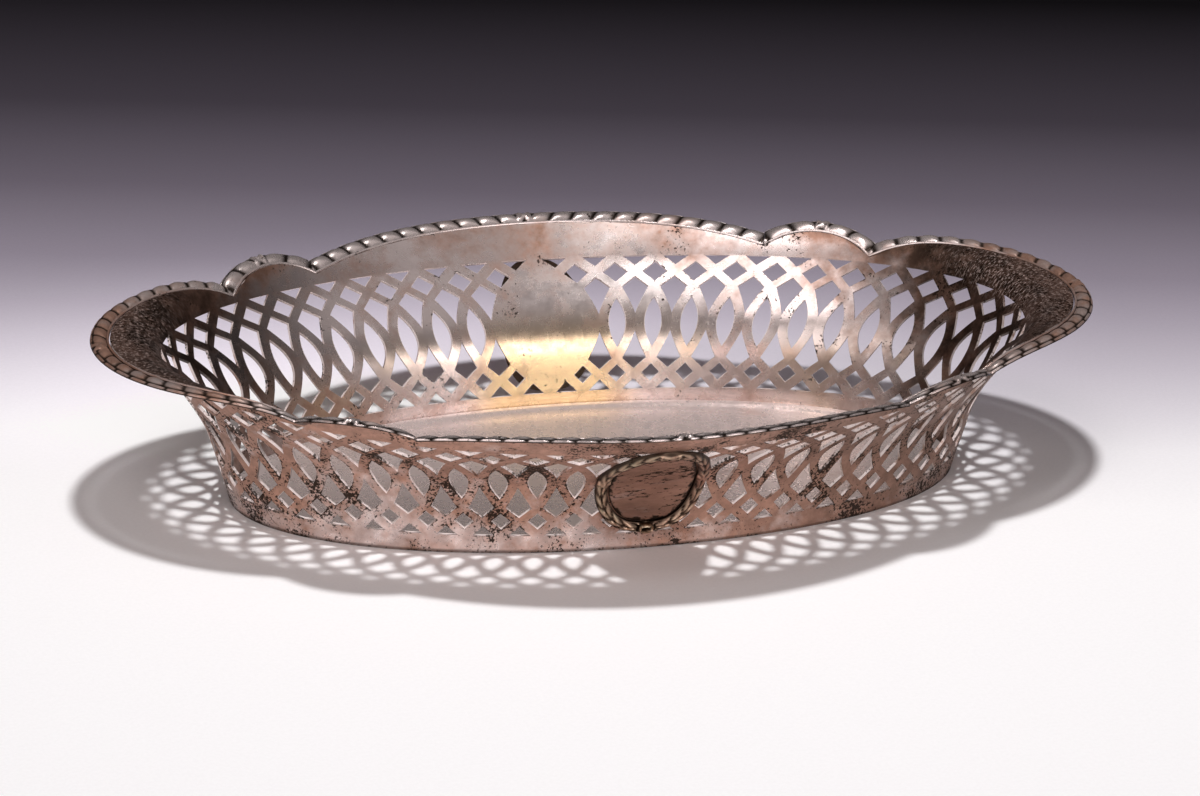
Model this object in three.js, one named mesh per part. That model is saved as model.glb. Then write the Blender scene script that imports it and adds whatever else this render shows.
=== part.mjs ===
// Pierced oval bread bowl in sheet silver: one flared wall of sawn interlaced hoops,
// a flat floor set inside its foot, a rim edged with eight mitred lengths of laurel
// border, and on each long side a laurel wreath round a plain shield.
// Sizes in mm. +X runs along the length, +Z is up, the foot stands on z = 0.
import * as THREE from 'three';

// Whole bowl, measured over the laurel border
const lengthOverall = 300;
const widthOverall = 187.5;

// Foot, low edge of the piercing, waist and top edge of the piercing (middle of the sheet)
const footLength = 218.4;
const footWidth = 109.0;
const lowLength = 222.2;
const lowWidth = 108.8;
const lowHeight = 6.0;
const waistLength = 236.0;
const waistWidth = 122.0;
const waistHeight = 25.5;
const topLength = 259.4;
const topWidth = 156.8;
const topHeight = 42.2;

// How much higher the two ends stand than the mean of each level
const lowEndLift = 0.8;
const waistEndLift = 1.1;
const topEndLift = 2.8;

// How fast the wall spreads and climbs where the piercing stops, per half height
const topSpreadEnd = 11.0;
const topSpreadSide = 17.2;
const topClimb = 16.9;

// How soon the rim levels out beyond that: near 0 runs straight, larger turns flat sooner
const rimSoftSide = 0.002;
const rimSoftEnd = 0.18;
const rimSoftCorner = 0.02;
// How much steeper the rim climbs on the diagonals, under the four corner lobes
const rimSteepCorner = 0.43;

// Squareness of the oval at foot and top, as a share of the radius on the diagonals
const squareFoot = 0.008;
const squareTop = -0.0134;

// Eight lobes of the rim: where they meet, and how far each swells
const cuspInnerX = 72.0;
const cuspInnerY = 72.6;
const cuspOuterX = 102.4;
const cuspOuterY = 55.2;
const cornerLobeRise = 4.6;
const endLobeCentreX = 74.5;

// Sheet, seats and joints
const sheetThickness = 0.9;
const jointGap = 0.3;
// The wall is made of flats, so the pieces resting on it stand this much clearer
const facetAllowance = 0.28;

// Piercing: repeats in a quarter, and each opening as shares of one repeat (across)
// and of the half height (up); the upper row of diamonds and triangles is larger
const repeatsPerQuarter = 13;
const cuspInnerRepeat = 6.0;
const cuspOuterRepeat = 8.5;
const lensHalfWidth = 0.235;
const lensHalfHeight = 0.365;
const kiteTip = 0.13;
const kiteWide = 0.53;
const kiteTop = 0.685;
const kiteHalfWidth = 0.345;
const upperRow = { diamondMiddle: 0.757, diamondHalfHeight: 0.147, diamondHalfWidth: 0.313, triangleTip: 0.855 };
const lowerRow = { diamondMiddle: 0.75, diamondHalfHeight: 0.131, diamondHalfWidth: 0.255, triangleTip: 0.84 };
const triangleHalfWidth = 0.31;

// Laurel border, outside the edge of the sheet: heights from the sheet's edge, and how much
// of the flange's climb it keeps as it runs on outwards
const borderWidth = 5.5;
const borderDrop = 1.0;
const borderClimb = 0.36;
const leafHeight = 1.5;
const grooveHeight = 0.7;
const beadHeight = 0.7;
const leafPitch = 6.7;
const leafSlant = 2.2;
const tieWidth = 4.2;
const tieHeight = 1.9;

// Wreath and shield on each long side, measured on the wall
const wreathHalfWidth = 14.6;
const wreathHalfHeight = 0.86;
const wreathTaper = 0.10;
const wreathBand = 4.4;
const wreathHeight = 1.9;
const wreathHollow = 1.0;
const wreathLeaves = 10;
// One repeat and the half height of the pierced wall laid flat, to set the wreaths out by
const flatRepeat = 11.2;
const flatHalfHeight = 21.5;
const shieldThickness = 0.8;

// Floor plate
const floorThickness = 0.9;
const floorShoulderHeight = 0.7;
const floorShoulderWidth = 3.0;


const repeats = 4 * repeatsPerQuarter;
const half = sheetThickness / 2;
const seat = half + jointGap;
const footLevel = -1 - lowHeight / (waistHeight - lowHeight);
const knots = [footLevel, -1, 0, 1];

// Smooth run through four levels; the last slope can be set, the others follow the chords
function levelRun(values, lastSlope) {
  const chord = [0, 1, 2].map((i) => (values[i + 1] - values[i]) / (knots[i + 1] - knots[i]));
  const slopes = [chord[0], (chord[0] + 3 * chord[1]) / 4, (chord[1] + 2 * chord[2]) / 3, 0];
  slopes[3] = lastSlope === undefined ? 1.5 * chord[2] - 0.5 * slopes[2] : lastSlope;
  return (level) => {
    const v = Math.min(Math.max(level, knots[0]), knots[3]);
    const i = v < knots[1] ? 0 : v < knots[2] ? 1 : 2;
    const h = knots[i + 1] - knots[i];
    const t = (v - knots[i]) / h;
    const t2 = t * t;
    const t3 = t2 * t;
    return (2 * t3 - 3 * t2 + 1) * values[i] + (t3 - 2 * t2 + t) * h * slopes[i]
      + (3 * t2 - 2 * t3) * values[i + 1] + (t3 - t2) * h * slopes[i + 1];
  };
}

const halfLengthAt = levelRun([footLength / 2, lowLength / 2, waistLength / 2, topLength / 2],
  topSpreadEnd);
const halfWidthAt = levelRun([footWidth / 2, lowWidth / 2, waistWidth / 2, topWidth / 2],
  topSpreadSide);
const heightAt = levelRun([0, lowHeight, waistHeight, topHeight], topClimb);
const liftAt = levelRun([0, lowEndLift, waistEndLift, topEndLift]);
const squareAt = levelRun([squareFoot, squareFoot, (squareFoot + squareTop) / 2, squareTop]);

function ovalPoint(angle, level) {
  const swell = 1 + squareAt(level) * Math.sin(2 * angle) ** 2;
  return [halfLengthAt(level) * Math.cos(angle) * swell, halfWidthAt(level) * Math.sin(angle) * swell];
}

// Angles that share each level's oval into equal steps along its own length, kept in a table
const tableLevels = 24;
const tableSteps = 60;
const angleTable = [];
for (let k = 0; k <= tableLevels; k += 1) {
  const level = footLevel + (1 - footLevel) * (k / tableLevels);
  const fine = 360;
  const run = [0];
  let last = ovalPoint(0, level);
  for (let i = 1; i <= fine; i += 1) {
    const next = ovalPoint((Math.PI / 2) * (i / fine), level);
    run.push(run[i - 1] + Math.hypot(next[0] - last[0], next[1] - last[1]));
    last = next;
  }
  const row = [];
  let i = 0;
  for (let j = 0; j <= tableSteps; j += 1) {
    const want = (run[fine] * j) / tableSteps;
    while (i < fine - 1 && run[i + 1] < want) i += 1;
    const f = (want - run[i]) / (run[i + 1] - run[i]);
    row.push((Math.PI / 2) * ((i + f) / fine));
  }
  angleTable.push(row);
}

function quarterAngle(share, level) {
  const k = Math.min(Math.max((level - footLevel) / (1 - footLevel), 0), 1) * tableLevels;
  const k0 = Math.min(Math.floor(k), tableLevels - 1);
  const j = Math.min(Math.max(share, 0), 1) * tableSteps;
  const j0 = Math.min(Math.floor(j), tableSteps - 1);
  const at = (row) => row[j0] + (row[j0 + 1] - row[j0]) * (j - j0);
  const low = at(angleTable[k0]);
  return low + (at(angleTable[k0 + 1]) - low) * (k - k0);
}

// Angle at a place counted in repeats from the right-hand end, anticlockwise from above
function angleAt(place, level) {
  const turn = (((place / repeatsPerQuarter) % 4) + 4) % 4;
  const quarter = Math.floor(turn);
  const share = turn - quarter;
  const inside = quarter % 2 === 0 ? quarterAngle(share, level)
    : Math.PI / 2 - quarterAngle(1 - share, level);
  return (quarter * Math.PI) / 2 + inside;
}

// Height of the rim flange over any plan point beyond the piercing
const topA = topLength / 2;
const topB = topWidth / 2;
const liftSlope = (liftAt(1) - liftAt(0.98)) / 0.02;
const slopeEnd = (topClimb + liftSlope) / topSpreadEnd;
const slopeSide = (topClimb - liftSlope) / topSpreadSide;

function flangeHeight(x, y) {
  const angle = Math.atan2(y / topB, x / topA);
  const sin2 = Math.sin(2 * angle) ** 2;
  const cos2 = Math.cos(2 * angle);
  const gauge = Math.hypot(x / topA, y / topB) / (1 + squareTop * sin2);
  const beyond = (gauge - 1) / (Math.hypot(x / topA ** 2, y / topB ** 2) / gauge);
  const slope = (slopeEnd + slopeSide) / 2 + ((slopeEnd - slopeSide) / 2) * cos2
    + rimSteepCorner * sin2;
  const soft = (rimSoftEnd + rimSoftSide) / 2 + ((rimSoftEnd - rimSoftSide) / 2) * cos2
    - rimSoftCorner * sin2;
  const bend = Math.max(soft, 0.002);
  return topHeight + topEndLift * cos2 + (1 - Math.exp(-slope * beyond * bend)) / bend;
}

function flangeNormal(x, y) {
  const e = 0.05;
  const gx = (flangeHeight(x + e, y) - flangeHeight(x - e, y)) / (2 * e);
  const gy = (flangeHeight(x, y + e) - flangeHeight(x, y - e)) / (2 * e);
  return new THREE.Vector3(-gx, -gy, 1).normalize();
}

// The rim outline: eight lobes, anticlockwise, each a fine run of plan points
const fineSteps = 48;
const arcRun = (make) => Array.from({ length: fineSteps + 1 }, (_, i) => make(i / fineSteps));

function arcBetween(start, end, rise) {
  const mid = [(start[0] + end[0]) / 2, (start[1] + end[1]) / 2];
  const chord = Math.hypot(end[0] - start[0], end[1] - start[1]);
  const out = [(end[1] - start[1]) / chord, -(end[0] - start[0]) / chord];
  const radius = (chord * chord / 4 + rise * rise) / (2 * rise);
  const centre = [mid[0] - out[0] * (radius - rise), mid[1] - out[1] * (radius - rise)];
  const spread = Math.atan2(chord / 2, radius - rise);
  const facing = Math.atan2(out[1], out[0]);
  return arcRun((t) => {
    const a = facing + spread * (2 * t - 1);
    return [centre[0] + radius * Math.cos(a), centre[1] + radius * Math.sin(a)];
  });
}

const endReach = lengthOverall / 2 - endLobeCentreX;
const endAtCusp = Math.acos(Math.min((cuspOuterX - endLobeCentreX) / endReach, 0.95));
const endHalfWidth = cuspOuterY / Math.sin(endAtCusp);
const endLobe = arcRun((t) => {
  const a = endAtCusp * (2 * t - 1);
  return [endLobeCentreX + endReach * Math.cos(a), endHalfWidth * Math.sin(a)];
});
const cornerLobe = arcBetween([cuspOuterX, cuspOuterY], [cuspInnerX, cuspInnerY], cornerLobeRise);
const sideLobe = arcBetween([cuspInnerX, cuspInnerY], [-cuspInnerX, cuspInnerY],
  widthOverall / 2 - cuspInnerY);
const mirrored = (run) => run.map(([x, y]) => [-x, y]).reverse();
const turned = (run) => run.map(([x, y]) => [-x, -y]);

const q = repeatsPerQuarter;
const lobes = [
  { name: 'border_end_right', run: endLobe, from: cuspOuterRepeat - q, to: q - cuspOuterRepeat },
  { name: 'border_corner_back_right', run: cornerLobe, from: q - cuspOuterRepeat, to: q - cuspInnerRepeat },
  { name: 'border_side_back', run: sideLobe, from: q - cuspInnerRepeat, to: q + cuspInnerRepeat },
  { name: 'border_corner_back_left', run: mirrored(cornerLobe), from: q + cuspInnerRepeat,
    to: q + cuspOuterRepeat },
  { name: 'border_end_left', run: turned(endLobe), from: q + cuspOuterRepeat,
    to: 3 * q - cuspOuterRepeat },
  { name: 'border_corner_front_left', run: turned(cornerLobe), from: 3 * q - cuspOuterRepeat,
    to: 3 * q - cuspInnerRepeat },
  { name: 'border_side_front', run: turned(sideLobe), from: 3 * q - cuspInnerRepeat,
    to: 3 * q + cuspInnerRepeat },
  { name: 'border_corner_front_right', run: turned(mirrored(cornerLobe)),
    from: 3 * q + cuspInnerRepeat, to: 3 * q + cuspOuterRepeat },
];

lobes.forEach((lobe) => {
  lobe.lengths = [0];
  for (let i = 1; i < lobe.run.length; i += 1) {
    const [a, b] = [lobe.run[i - 1], lobe.run[i]];
    lobe.lengths.push(lobe.lengths[i - 1] + Math.hypot(b[0] - a[0], b[1] - a[1]));
  }
  lobe.length = lobe.lengths[fineSteps];
});

// Plan point and heading at a distance along a lobe; runs on straight past its two ends
function alongLobe(lobe, distance) {
  let i = 0;
  while (i < fineSteps - 1 && lobe.lengths[i + 1] < distance) i += 1;
  const [a, b] = [lobe.run[i], lobe.run[i + 1]];
  const step = lobe.lengths[i + 1] - lobe.lengths[i];
  const f = (distance - lobe.lengths[i]) / step;
  const heading = [(b[0] - a[0]) / step, (b[1] - a[1]) / step];
  return { at: [a[0] + (b[0] - a[0]) * f, a[1] + (b[1] - a[1]) * f], heading };
}

// Plan point of a line that keeps this inset from the outer edge of the rim
function insetPoint(lobe, distance, inset) {
  const { at, heading } = alongLobe(lobe, distance);
  return [at[0] - heading[1] * inset, at[1] + heading[0] * inset];
}

// Where such a line reaches the mitre that halves the corner between two lobes
function mitreDistance(index, inset, atEnd, clear) {
  const lobe = lobes[index];
  const other = lobes[(index + (atEnd ? 1 : lobes.length - 1)) % lobes.length];
  const corner = alongLobe(lobe, atEnd ? lobe.length : 0).at;
  const mine = alongLobe(lobe, atEnd ? lobe.length : 0).heading;
  const theirs = alongLobe(other, atEnd ? 0 : other.length).heading;
  const along = [mine[0] + theirs[0], mine[1] + theirs[1]];
  const size = Math.hypot(along[0], along[1]);
  const want = atEnd ? -clear : clear;
  let low = (atEnd ? lobe.length : 0) - 1.7 * borderWidth;
  let high = (atEnd ? lobe.length : 0) + 1.7 * borderWidth;
  for (let i = 0; i < 40; i += 1) {
    const mid = (low + high) / 2;
    const p = insetPoint(lobe, mid, inset);
    const passed = ((p[0] - corner[0]) * along[0] + (p[1] - corner[1]) * along[1]) / size;
    if (passed < want) low = mid; else high = mid;
  }
  return (low + high) / 2;
}

// The edge of the sheet runs just inside the border, with a corner under each mitre; the
// sheet leans out there, so half its thickness is kept clear as well
const sheetInset = borderWidth + jointGap + half;
lobes.forEach((lobe, index) => {
  lobe.sheetStart = mitreDistance(index, sheetInset, false, 0);
  lobe.sheetEnd = mitreDistance(index, sheetInset, true, 0);
});

function rimAt(place) {
  const start = lobes[0].from;
  const wrapped = ((((place - start) % repeats) + repeats) % repeats) + start;
  const lobe = lobes.find((l) => wrapped >= l.from - 1e-9 && wrapped <= l.to + 1e-9);
  const share = (wrapped - lobe.from) / (lobe.to - lobe.from);
  return insetPoint(lobe, lobe.sheetStart + (lobe.sheetEnd - lobe.sheetStart) * share, sheetInset);
}

// The middle of the sheet: levels up to 1 are pierced wall, 1 to 2 run out over the flange
function sheetPoint(place, level) {
  const angle = angleAt(place, Math.min(level, 1));
  const [x, y] = ovalPoint(angle, Math.min(level, 1));
  if (level <= 1) return new THREE.Vector3(x, y, heightAt(level) + liftAt(level) * Math.cos(2 * angle));
  const rim = rimAt(place);
  const px = x + (rim[0] - x) * (level - 1);
  const py = y + (rim[1] - y) * (level - 1);
  return new THREE.Vector3(px, py, flangeHeight(px, py));
}

// Out of the bowl: away from the inside on the wall, downwards under the flange
function sheetNormal(place, level) {
  if (level > 1.02) {
    const p = sheetPoint(place, level);
    return flangeNormal(p.x, p.y).negate();
  }
  const v = Math.min(Math.max(level, footLevel + 0.01), 0.99);
  const across = sheetPoint(place + 0.02, v).sub(sheetPoint(place - 0.02, v));
  const up = sheetPoint(place, v + 0.01).sub(sheetPoint(place, v - 0.01));
  return across.cross(up).normalize();
}

function onSheet(place, level, out) {
  return sheetPoint(place, level).addScaledVector(sheetNormal(place, level), out);
}

// A piece from points and triangles
function piece(name, points, faces, colour) {
  const geometry = new THREE.BufferGeometry();
  const flat = new Float32Array(points.length * 3);
  points.forEach((p, i) => flat.set([p.x, p.y, p.z], i * 3));
  geometry.setAttribute('position', new THREE.BufferAttribute(flat, 3));
  geometry.setIndex(faces.flat());
  geometry.computeVertexNormals();
  const material = new THREE.MeshStandardMaterial({ color: colour, metalness: 0.9, roughness: 0.35 });
  const mesh = new THREE.Mesh(geometry, material);
  mesh.name = name;
  return mesh;
}

// The outlines of the seven openings of one repeat, as places and levels
const mirrorDown = (outline) => outline.map(([u, s]) => [u, -s]).reverse();

function lensOutline() {
  const steps = [-0.45, 0.45];
  const bulge = (t) => lensHalfWidth * (1 - t * t);
  return [[0, -lensHalfHeight], ...steps.map((t) => [bulge(t), t * lensHalfHeight]),
    [0, lensHalfHeight], ...steps.map((t) => [-bulge(t), -t * lensHalfHeight])];
}

const kiteOutline = () => [[0, kiteTip], [kiteHalfWidth, kiteWide], [0, kiteTop],
  [-kiteHalfWidth, kiteWide]];

const diamondOutline = (row) => [[0, row.diamondMiddle - row.diamondHalfHeight],
  [row.diamondHalfWidth, row.diamondMiddle], [0, row.diamondMiddle + row.diamondHalfHeight],
  [-row.diamondHalfWidth, row.diamondMiddle]];

const triangleOutline = (row) => [[0, row.triangleTip], [triangleHalfWidth, 1], [-triangleHalfWidth, 1]];

const shift = (outline, du) => outline.map(([u, s]) => [u + du, s]);

// Openings of the cell that hangs from place 0; each carries the column it stands in
const openings = [
  { column: -1, kind: 'lens', outline: lensOutline() },
  { column: -0.5, kind: 'kite', outline: kiteOutline() },
  { column: -0.5, kind: 'kite', outline: mirrorDown(kiteOutline()) },
  { column: 0, kind: 'diamond', outline: diamondOutline(upperRow) },
  { column: 0, kind: 'diamond', outline: mirrorDown(diamondOutline(lowerRow)) },
  { column: 0.5, kind: 'triangle', outline: triangleOutline(upperRow) },
  { column: 0.5, kind: 'triangle', outline: mirrorDown(triangleOutline(lowerRow)) },
];

// Each long side keeps a solid panel in its middle where these openings are left out
function leftSolid(kind, column) {
  const place = ((column % (2 * q)) + 2 * q) % (2 * q);
  const off = Math.abs(place - q);
  return (kind === 'lens' && off < 1.2) || (kind === 'kite' && off < 0.7)
    || (kind === 'diamond' && off < 0.3);
}

// One side of a cell follows the middle of a strap, so it never crosses an opening
function strapLine(level) {
  const s = Math.abs(level);
  if (s >= 1) return 0;
  return s > 0.5 ? -2 * (1 - s) : -(1.5 - 2 * s * s);
}

function buildWall() {
  const cellTop = 1.16;
  const sideLevels = [footLevel, -1, -0.5, -0.25, 0, 0.25, 0.5, 1, cellTop];
  const flangeLevels = [1.4, 1.7, 2];
  const points = [];
  const faces = [];
  const known = new Map();
  const vertex = (place, level) => {
    const wrapped = ((place % repeats) + repeats) % repeats;
    const key = `${Math.round(wrapped * 1e4) % (repeats * 1e4)}/${Math.round(level * 1e4)}`;
    if (!known.has(key)) {
      known.set(key, points.length);
      points.push(onSheet(place, level, half), onSheet(place, level, -half));
    }
    return known.get(key);
  };
  const both = (a, b, c) => faces.push([a, b, c], [c + 1, b + 1, a + 1]);
  const edge = (a, b) => faces.push([a, a + 1, b + 1], [a, b + 1, b]);

  for (let cell = 0; cell < repeats; cell += 1) {
    const left = sideLevels.map((s) => [strapLine(s), s]);
    const right = left.map(([u, s]) => [u + 1, s]);
    const contour = [[0, footLevel], [0.5, footLevel], ...right, [0.5, cellTop], ...left.reverse()];
    contour.pop();
    const holes = openings.map((o) => shift(o.outline, o.column).reverse());
    // The flat sheet is bent a touch here, as points in one straight line would be dropped
    const flat = (run) => run.map(([u, s]) => new THREE.Vector2(u * flatRepeat + s * s,
      s * flatHalfHeight + u * u));
    const idsOf = (run) => run.map(([u, s]) => vertex(cell + u, s));
    const ids = idsOf([...contour, ...holes.flat()]);
    THREE.ShapeUtils.triangulateShape(flat(contour), holes.map(flat))
      .forEach(([a, b, c]) => both(ids[a], ids[b], ids[c]));
    openings.forEach((opening, i) => {
      const rim = idsOf(holes[i]);
      if (leftSolid(opening.kind, cell + opening.column)) {
        const mean = (k) => holes[i].reduce((sum, point) => sum + point[k], 0) / rim.length;
        const middle = vertex(cell + mean(0), mean(1));
        rim.forEach((from, j) => both(middle, rim[(j + 1) % rim.length], from));
      } else {
        rim.forEach((from, j) => edge(from, rim[(j + 1) % rim.length]));
      }
    });
  }

  const rows = [cellTop, ...flangeLevels];
  for (let step = 0; step < 2 * repeats; step += 1) {
    const [a, b] = [step / 2, (step + 1) / 2];
    for (let r = 0; r < rows.length - 1; r += 1) {
      const [low, high] = [rows[r], rows[r + 1]];
      const ring = [vertex(a, low), vertex(b, low), vertex(b, high), vertex(a, high)];
      both(ring[0], ring[1], ring[2]);
      both(ring[0], ring[2], ring[3]);
    }
    edge(vertex(b, 2), vertex(a, 2));
    edge(vertex(a, footLevel), vertex(b, footLevel));
  }
  return piece('wall', points, faces, 0xb9afa8);
}

// A strip swept between its first and last rings of points, with both ends closed
function strip(name, rings, colour, closed) {
  const n = rings[0].length;
  const points = rings.flat();
  const faces = [];
  const count = closed ? rings.length : rings.length - 1;
  for (let i = 0; i < count; i += 1) {
    const next = (i + 1) % rings.length;
    for (let j = 0; j < n; j += 1) {
      const k = (j + 1) % n;
      faces.push([i * n + j, next * n + j, next * n + k], [i * n + j, next * n + k, i * n + k]);
    }
  }
  if (!closed) {
    const cap = (first, flip) => {
      for (let j = 1; j < n - 1; j += 1) {
        faces.push(flip ? [first, first + j, first + j + 1] : [first, first + j + 1, first + j]);
      }
    };
    cap(0, true);
    cap((rings.length - 1) * n, false);
  }
  return piece(name, points, faces, colour);
}

// Point of a border: it starts as high as the edge of the sheet beside it and climbs outwards
function borderPoint(lobe, distance, inset, lift) {
  const edge = insetPoint(lobe, distance, sheetInset);
  const [x, y] = insetPoint(lobe, distance, inset);
  const start = flangeHeight(edge[0], edge[1]);
  return new THREE.Vector3(x, y, start + borderClimb * (flangeHeight(x, y) - start) + lift);
}

function buildBorder(index) {
  const lobe = lobes[index];
  const halfRun = lobe.length / 2 - tieWidth / 2;
  const leaves = Math.max(1, Math.round(halfRun / leafPitch));
  const pitch = halfRun / leaves;
  const insets = [0.06 * borderWidth, 0, 0.35 * borderWidth, 0.72 * borderWidth, borderWidth, borderWidth];
  const starts = insets.map((a) => mitreDistance(index, a, false, jointGap / 2));
  const ends = insets.map((a) => mitreDistance(index, a, true, jointGap / 2));
  const places = [];
  for (let i = 0; i < leaves; i += 1) {
    places.push([i * pitch, grooveHeight, 0], [(i + 0.5) * pitch, leafHeight, 1]);
  }
  places.push([halfRun, grooveHeight, 0], [halfRun + 0.3, tieHeight, 0]);
  const all = [...places, ...places.slice().reverse().map(([d, h, s]) => [lobe.length - d, h, s])];
  const rings = all.map(([distance, height], k) => {
    const first = k === 0;
    const last = k === all.length - 1;
    const secondHalf = k >= places.length;
    const nearest = Math.min(distance, lobe.length - distance, Math.abs(halfRun - distance),
      Math.abs(lobe.length - halfRun - distance));
    const slant = leafSlant * Math.min(1, nearest / pitch) * (secondHalf ? 1 : -1);
    const bead = height === tieHeight ? tieHeight : beadHeight;
    const lifts = [-borderDrop, height * 0.2, height, height * 0.85, bead, -borderDrop];
    return insets.map((inset, j) => {
      const share = distance / lobe.length;
      const run = starts[j] + (ends[j] - starts[j]) * share;
      const lean = first || last ? 0 : slant * (0.5 - inset / borderWidth);
      return borderPoint(lobe, run + lean, inset, lifts[j]);
    });
  });
  return strip(lobe.name, rings, 0xc6bdb4, false);
}

// Centre line of a wreath round one long side's panel: places and levels, anticlockwise
function wreathLine(centrePlace, angle, grow) {
  const reach = wreathHalfWidth + grow;
  const rise = wreathHalfHeight + grow / flatHalfHeight;
  const level = rise * Math.sin(angle) - 0.02;
  const across = reach * Math.cos(angle) * (1 + wreathTaper * Math.sin(angle));
  return [centrePlace + across / flatRepeat, level];
}

function buildWreath(name, centrePlace) {
  const rings = [];
  const steps = 4 * Math.max(4, Math.round(wreathLeaves));
  for (let i = 0; i < steps; i += 1) {
    const angle = (2 * Math.PI * i) / steps - Math.PI / 2;
    const high = i % 2 === 0 ? wreathHollow : wreathHeight;
    const section = [[-0.5, 0], [0.5, 0], [0.42, high * 0.7], [0, high], [-0.42, high * 0.7]];
    rings.push(section.map(([a, lift]) => {
      const [place, level] = wreathLine(centrePlace, angle, a * wreathBand);
      return onSheet(place, Math.min(level, 1), seat + facetAllowance + lift);
    }));
  }
  return strip(name, rings, 0xc2b8ae, true);
}

function buildShield(name, centrePlace) {
  const steps = 26;
  const ringShares = [1, 0.66, 0.33];
  const points = [];
  const faces = [];
  const edgeGrow = -wreathBand / 2 - jointGap;
  const ring = (share, out) => {
    const first = points.length;
    for (let i = 0; i < steps; i += 1) {
      const [place, level] = wreathLine(centrePlace, (2 * Math.PI * i) / steps, edgeGrow);
      const middle = -0.02;
      points.push(onSheet(centrePlace + (place - centrePlace) * share, middle + (level - middle) * share, out));
    }
    return first;
  };
  const join = (a, b) => {
    for (let i = 0; i < steps; i += 1) {
      const k = (i + 1) % steps;
      faces.push([a + i, a + k, b + k], [a + i, b + k, b + i]);
    }
  };
  const low = seat + facetAllowance;
  const outside = ringShares.map((s) => ring(s, low + shieldThickness));
  const inside = ringShares.map((s) => ring(s, low));
  for (let r = 0; r < ringShares.length - 1; r += 1) {
    join(outside[r], outside[r + 1]);
    join(inside[r + 1], inside[r]);
  }
  join(inside[0], outside[0]);
  const topCentre = points.push(onSheet(centrePlace, -0.02, low + shieldThickness)) - 1;
  const lowCentre = points.push(onSheet(centrePlace, -0.02, low)) - 1;
  const [o, n] = [outside[ringShares.length - 1], inside[ringShares.length - 1]];
  for (let i = 0; i < steps; i += 1) {
    const k = (i + 1) % steps;
    faces.push([o + i, o + k, topCentre], [n + k, n + i, lowCentre]);
  }
  return piece(name, points, faces, 0x9c8a7d);
}

function buildFloor() {
  const steps = 52;
  const points = [];
  const faces = [];
  const inset = half + jointGap;
  const edgeTop = floorThickness + floorShoulderHeight;
  const profile = [[inset, 0], [inset, edgeTop], [inset + floorShoulderWidth, edgeTop],
    [inset + floorShoulderWidth + 1.2, floorThickness], [footWidth * 0.3, floorThickness]];
  profile.forEach(([back, z]) => {
    for (let i = 0; i < steps; i += 1) {
      const angle = (2 * Math.PI * i) / steps;
      const swell = 1 + squareFoot * Math.sin(2 * angle) ** 2;
      points.push(new THREE.Vector3((footLength / 2 - back) * Math.cos(angle) * swell,
        (footWidth / 2 - back) * Math.sin(angle) * swell, z));
    }
  });
  for (let r = 0; r < profile.length - 1; r += 1) {
    for (let i = 0; i < steps; i += 1) {
      const k = (i + 1) % steps;
      const [a, b] = [r * steps, (r + 1) * steps];
      faces.push([a + i, a + k, b + k], [a + i, b + k, b + i]);
    }
  }
  const top = points.push(new THREE.Vector3(0, 0, floorThickness)) - 1;
  const bottom = points.push(new THREE.Vector3(0, 0, 0)) - 1;
  const lastRing = (profile.length - 1) * steps;
  for (let i = 0; i < steps; i += 1) {
    const k = (i + 1) % steps;
    faces.push([lastRing + i, lastRing + k, top], [k, i, bottom]);
  }
  return piece('floor', points, faces, 0xb0a69f);
}

const group = new THREE.Group();
group.add(buildWall());
group.add(buildFloor());
lobes.forEach((_, index) => group.add(buildBorder(index)));
group.add(buildWreath('wreath_front', 3 * q));
group.add(buildWreath('wreath_back', q));
group.add(buildShield('shield_front', 3 * q));
group.add(buildShield('shield_back', q));

export default group;
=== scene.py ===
"""Pierced oval bread bowl in old silver: sawn interlace wall, laurel border, wreaths and shields."""
import math

import bmesh
import bpy
from bpy.props import FloatProperty, FloatVectorProperty, IntProperty, PointerProperty
from mathutils import Matrix, Vector


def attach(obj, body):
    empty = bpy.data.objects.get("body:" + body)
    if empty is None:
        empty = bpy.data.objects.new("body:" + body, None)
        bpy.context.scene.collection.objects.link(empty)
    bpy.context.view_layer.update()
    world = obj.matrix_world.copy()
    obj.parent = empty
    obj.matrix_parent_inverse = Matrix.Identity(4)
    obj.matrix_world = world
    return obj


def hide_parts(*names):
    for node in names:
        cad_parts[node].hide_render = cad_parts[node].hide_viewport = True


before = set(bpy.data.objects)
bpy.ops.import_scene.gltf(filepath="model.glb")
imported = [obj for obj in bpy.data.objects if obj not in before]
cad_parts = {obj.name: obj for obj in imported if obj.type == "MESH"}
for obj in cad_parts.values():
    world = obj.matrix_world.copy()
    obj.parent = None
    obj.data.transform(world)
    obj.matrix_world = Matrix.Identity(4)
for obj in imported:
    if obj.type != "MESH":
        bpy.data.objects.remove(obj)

bl_info = {
    "name": "Pierced Silver Bowl",
    "version": (1, 0, 0),
    "blender": (4, 5, 0),
    "location": "3D View > Sidebar > Bowl",
    "description": "Builds an oval pierced bread bowl with a laurel border, wreaths and shields",
    "category": "Add Mesh",
}

MM = 0.001

# The form of the sheet, in millimetres: each level gives length, width and height of the
# middle of the sheet, at the foot, the low edge of the piercing, the waist and its top edge
LEVEL_LENGTHS = (218.4, 222.2, 236.0, 259.4)
LEVEL_WIDTHS = (109.0, 108.8, 122.0, 156.8)
LEVEL_HEIGHTS = (0.0, 6.0, 25.5, 42.2)
END_LIFTS = (0.0, 0.8, 1.1, 2.8)
TOP_SPREAD_END = 11.0
TOP_SPREAD_SIDE = 17.2
TOP_CLIMB = 16.9
RIM_SOFT_SIDE = 0.002
RIM_SOFT_END = 0.18
RIM_SOFT_CORNER = 0.02
RIM_STEEP_CORNER = 0.43
SQUARE_FOOT = 0.008
SQUARE_TOP = -0.0134

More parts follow.
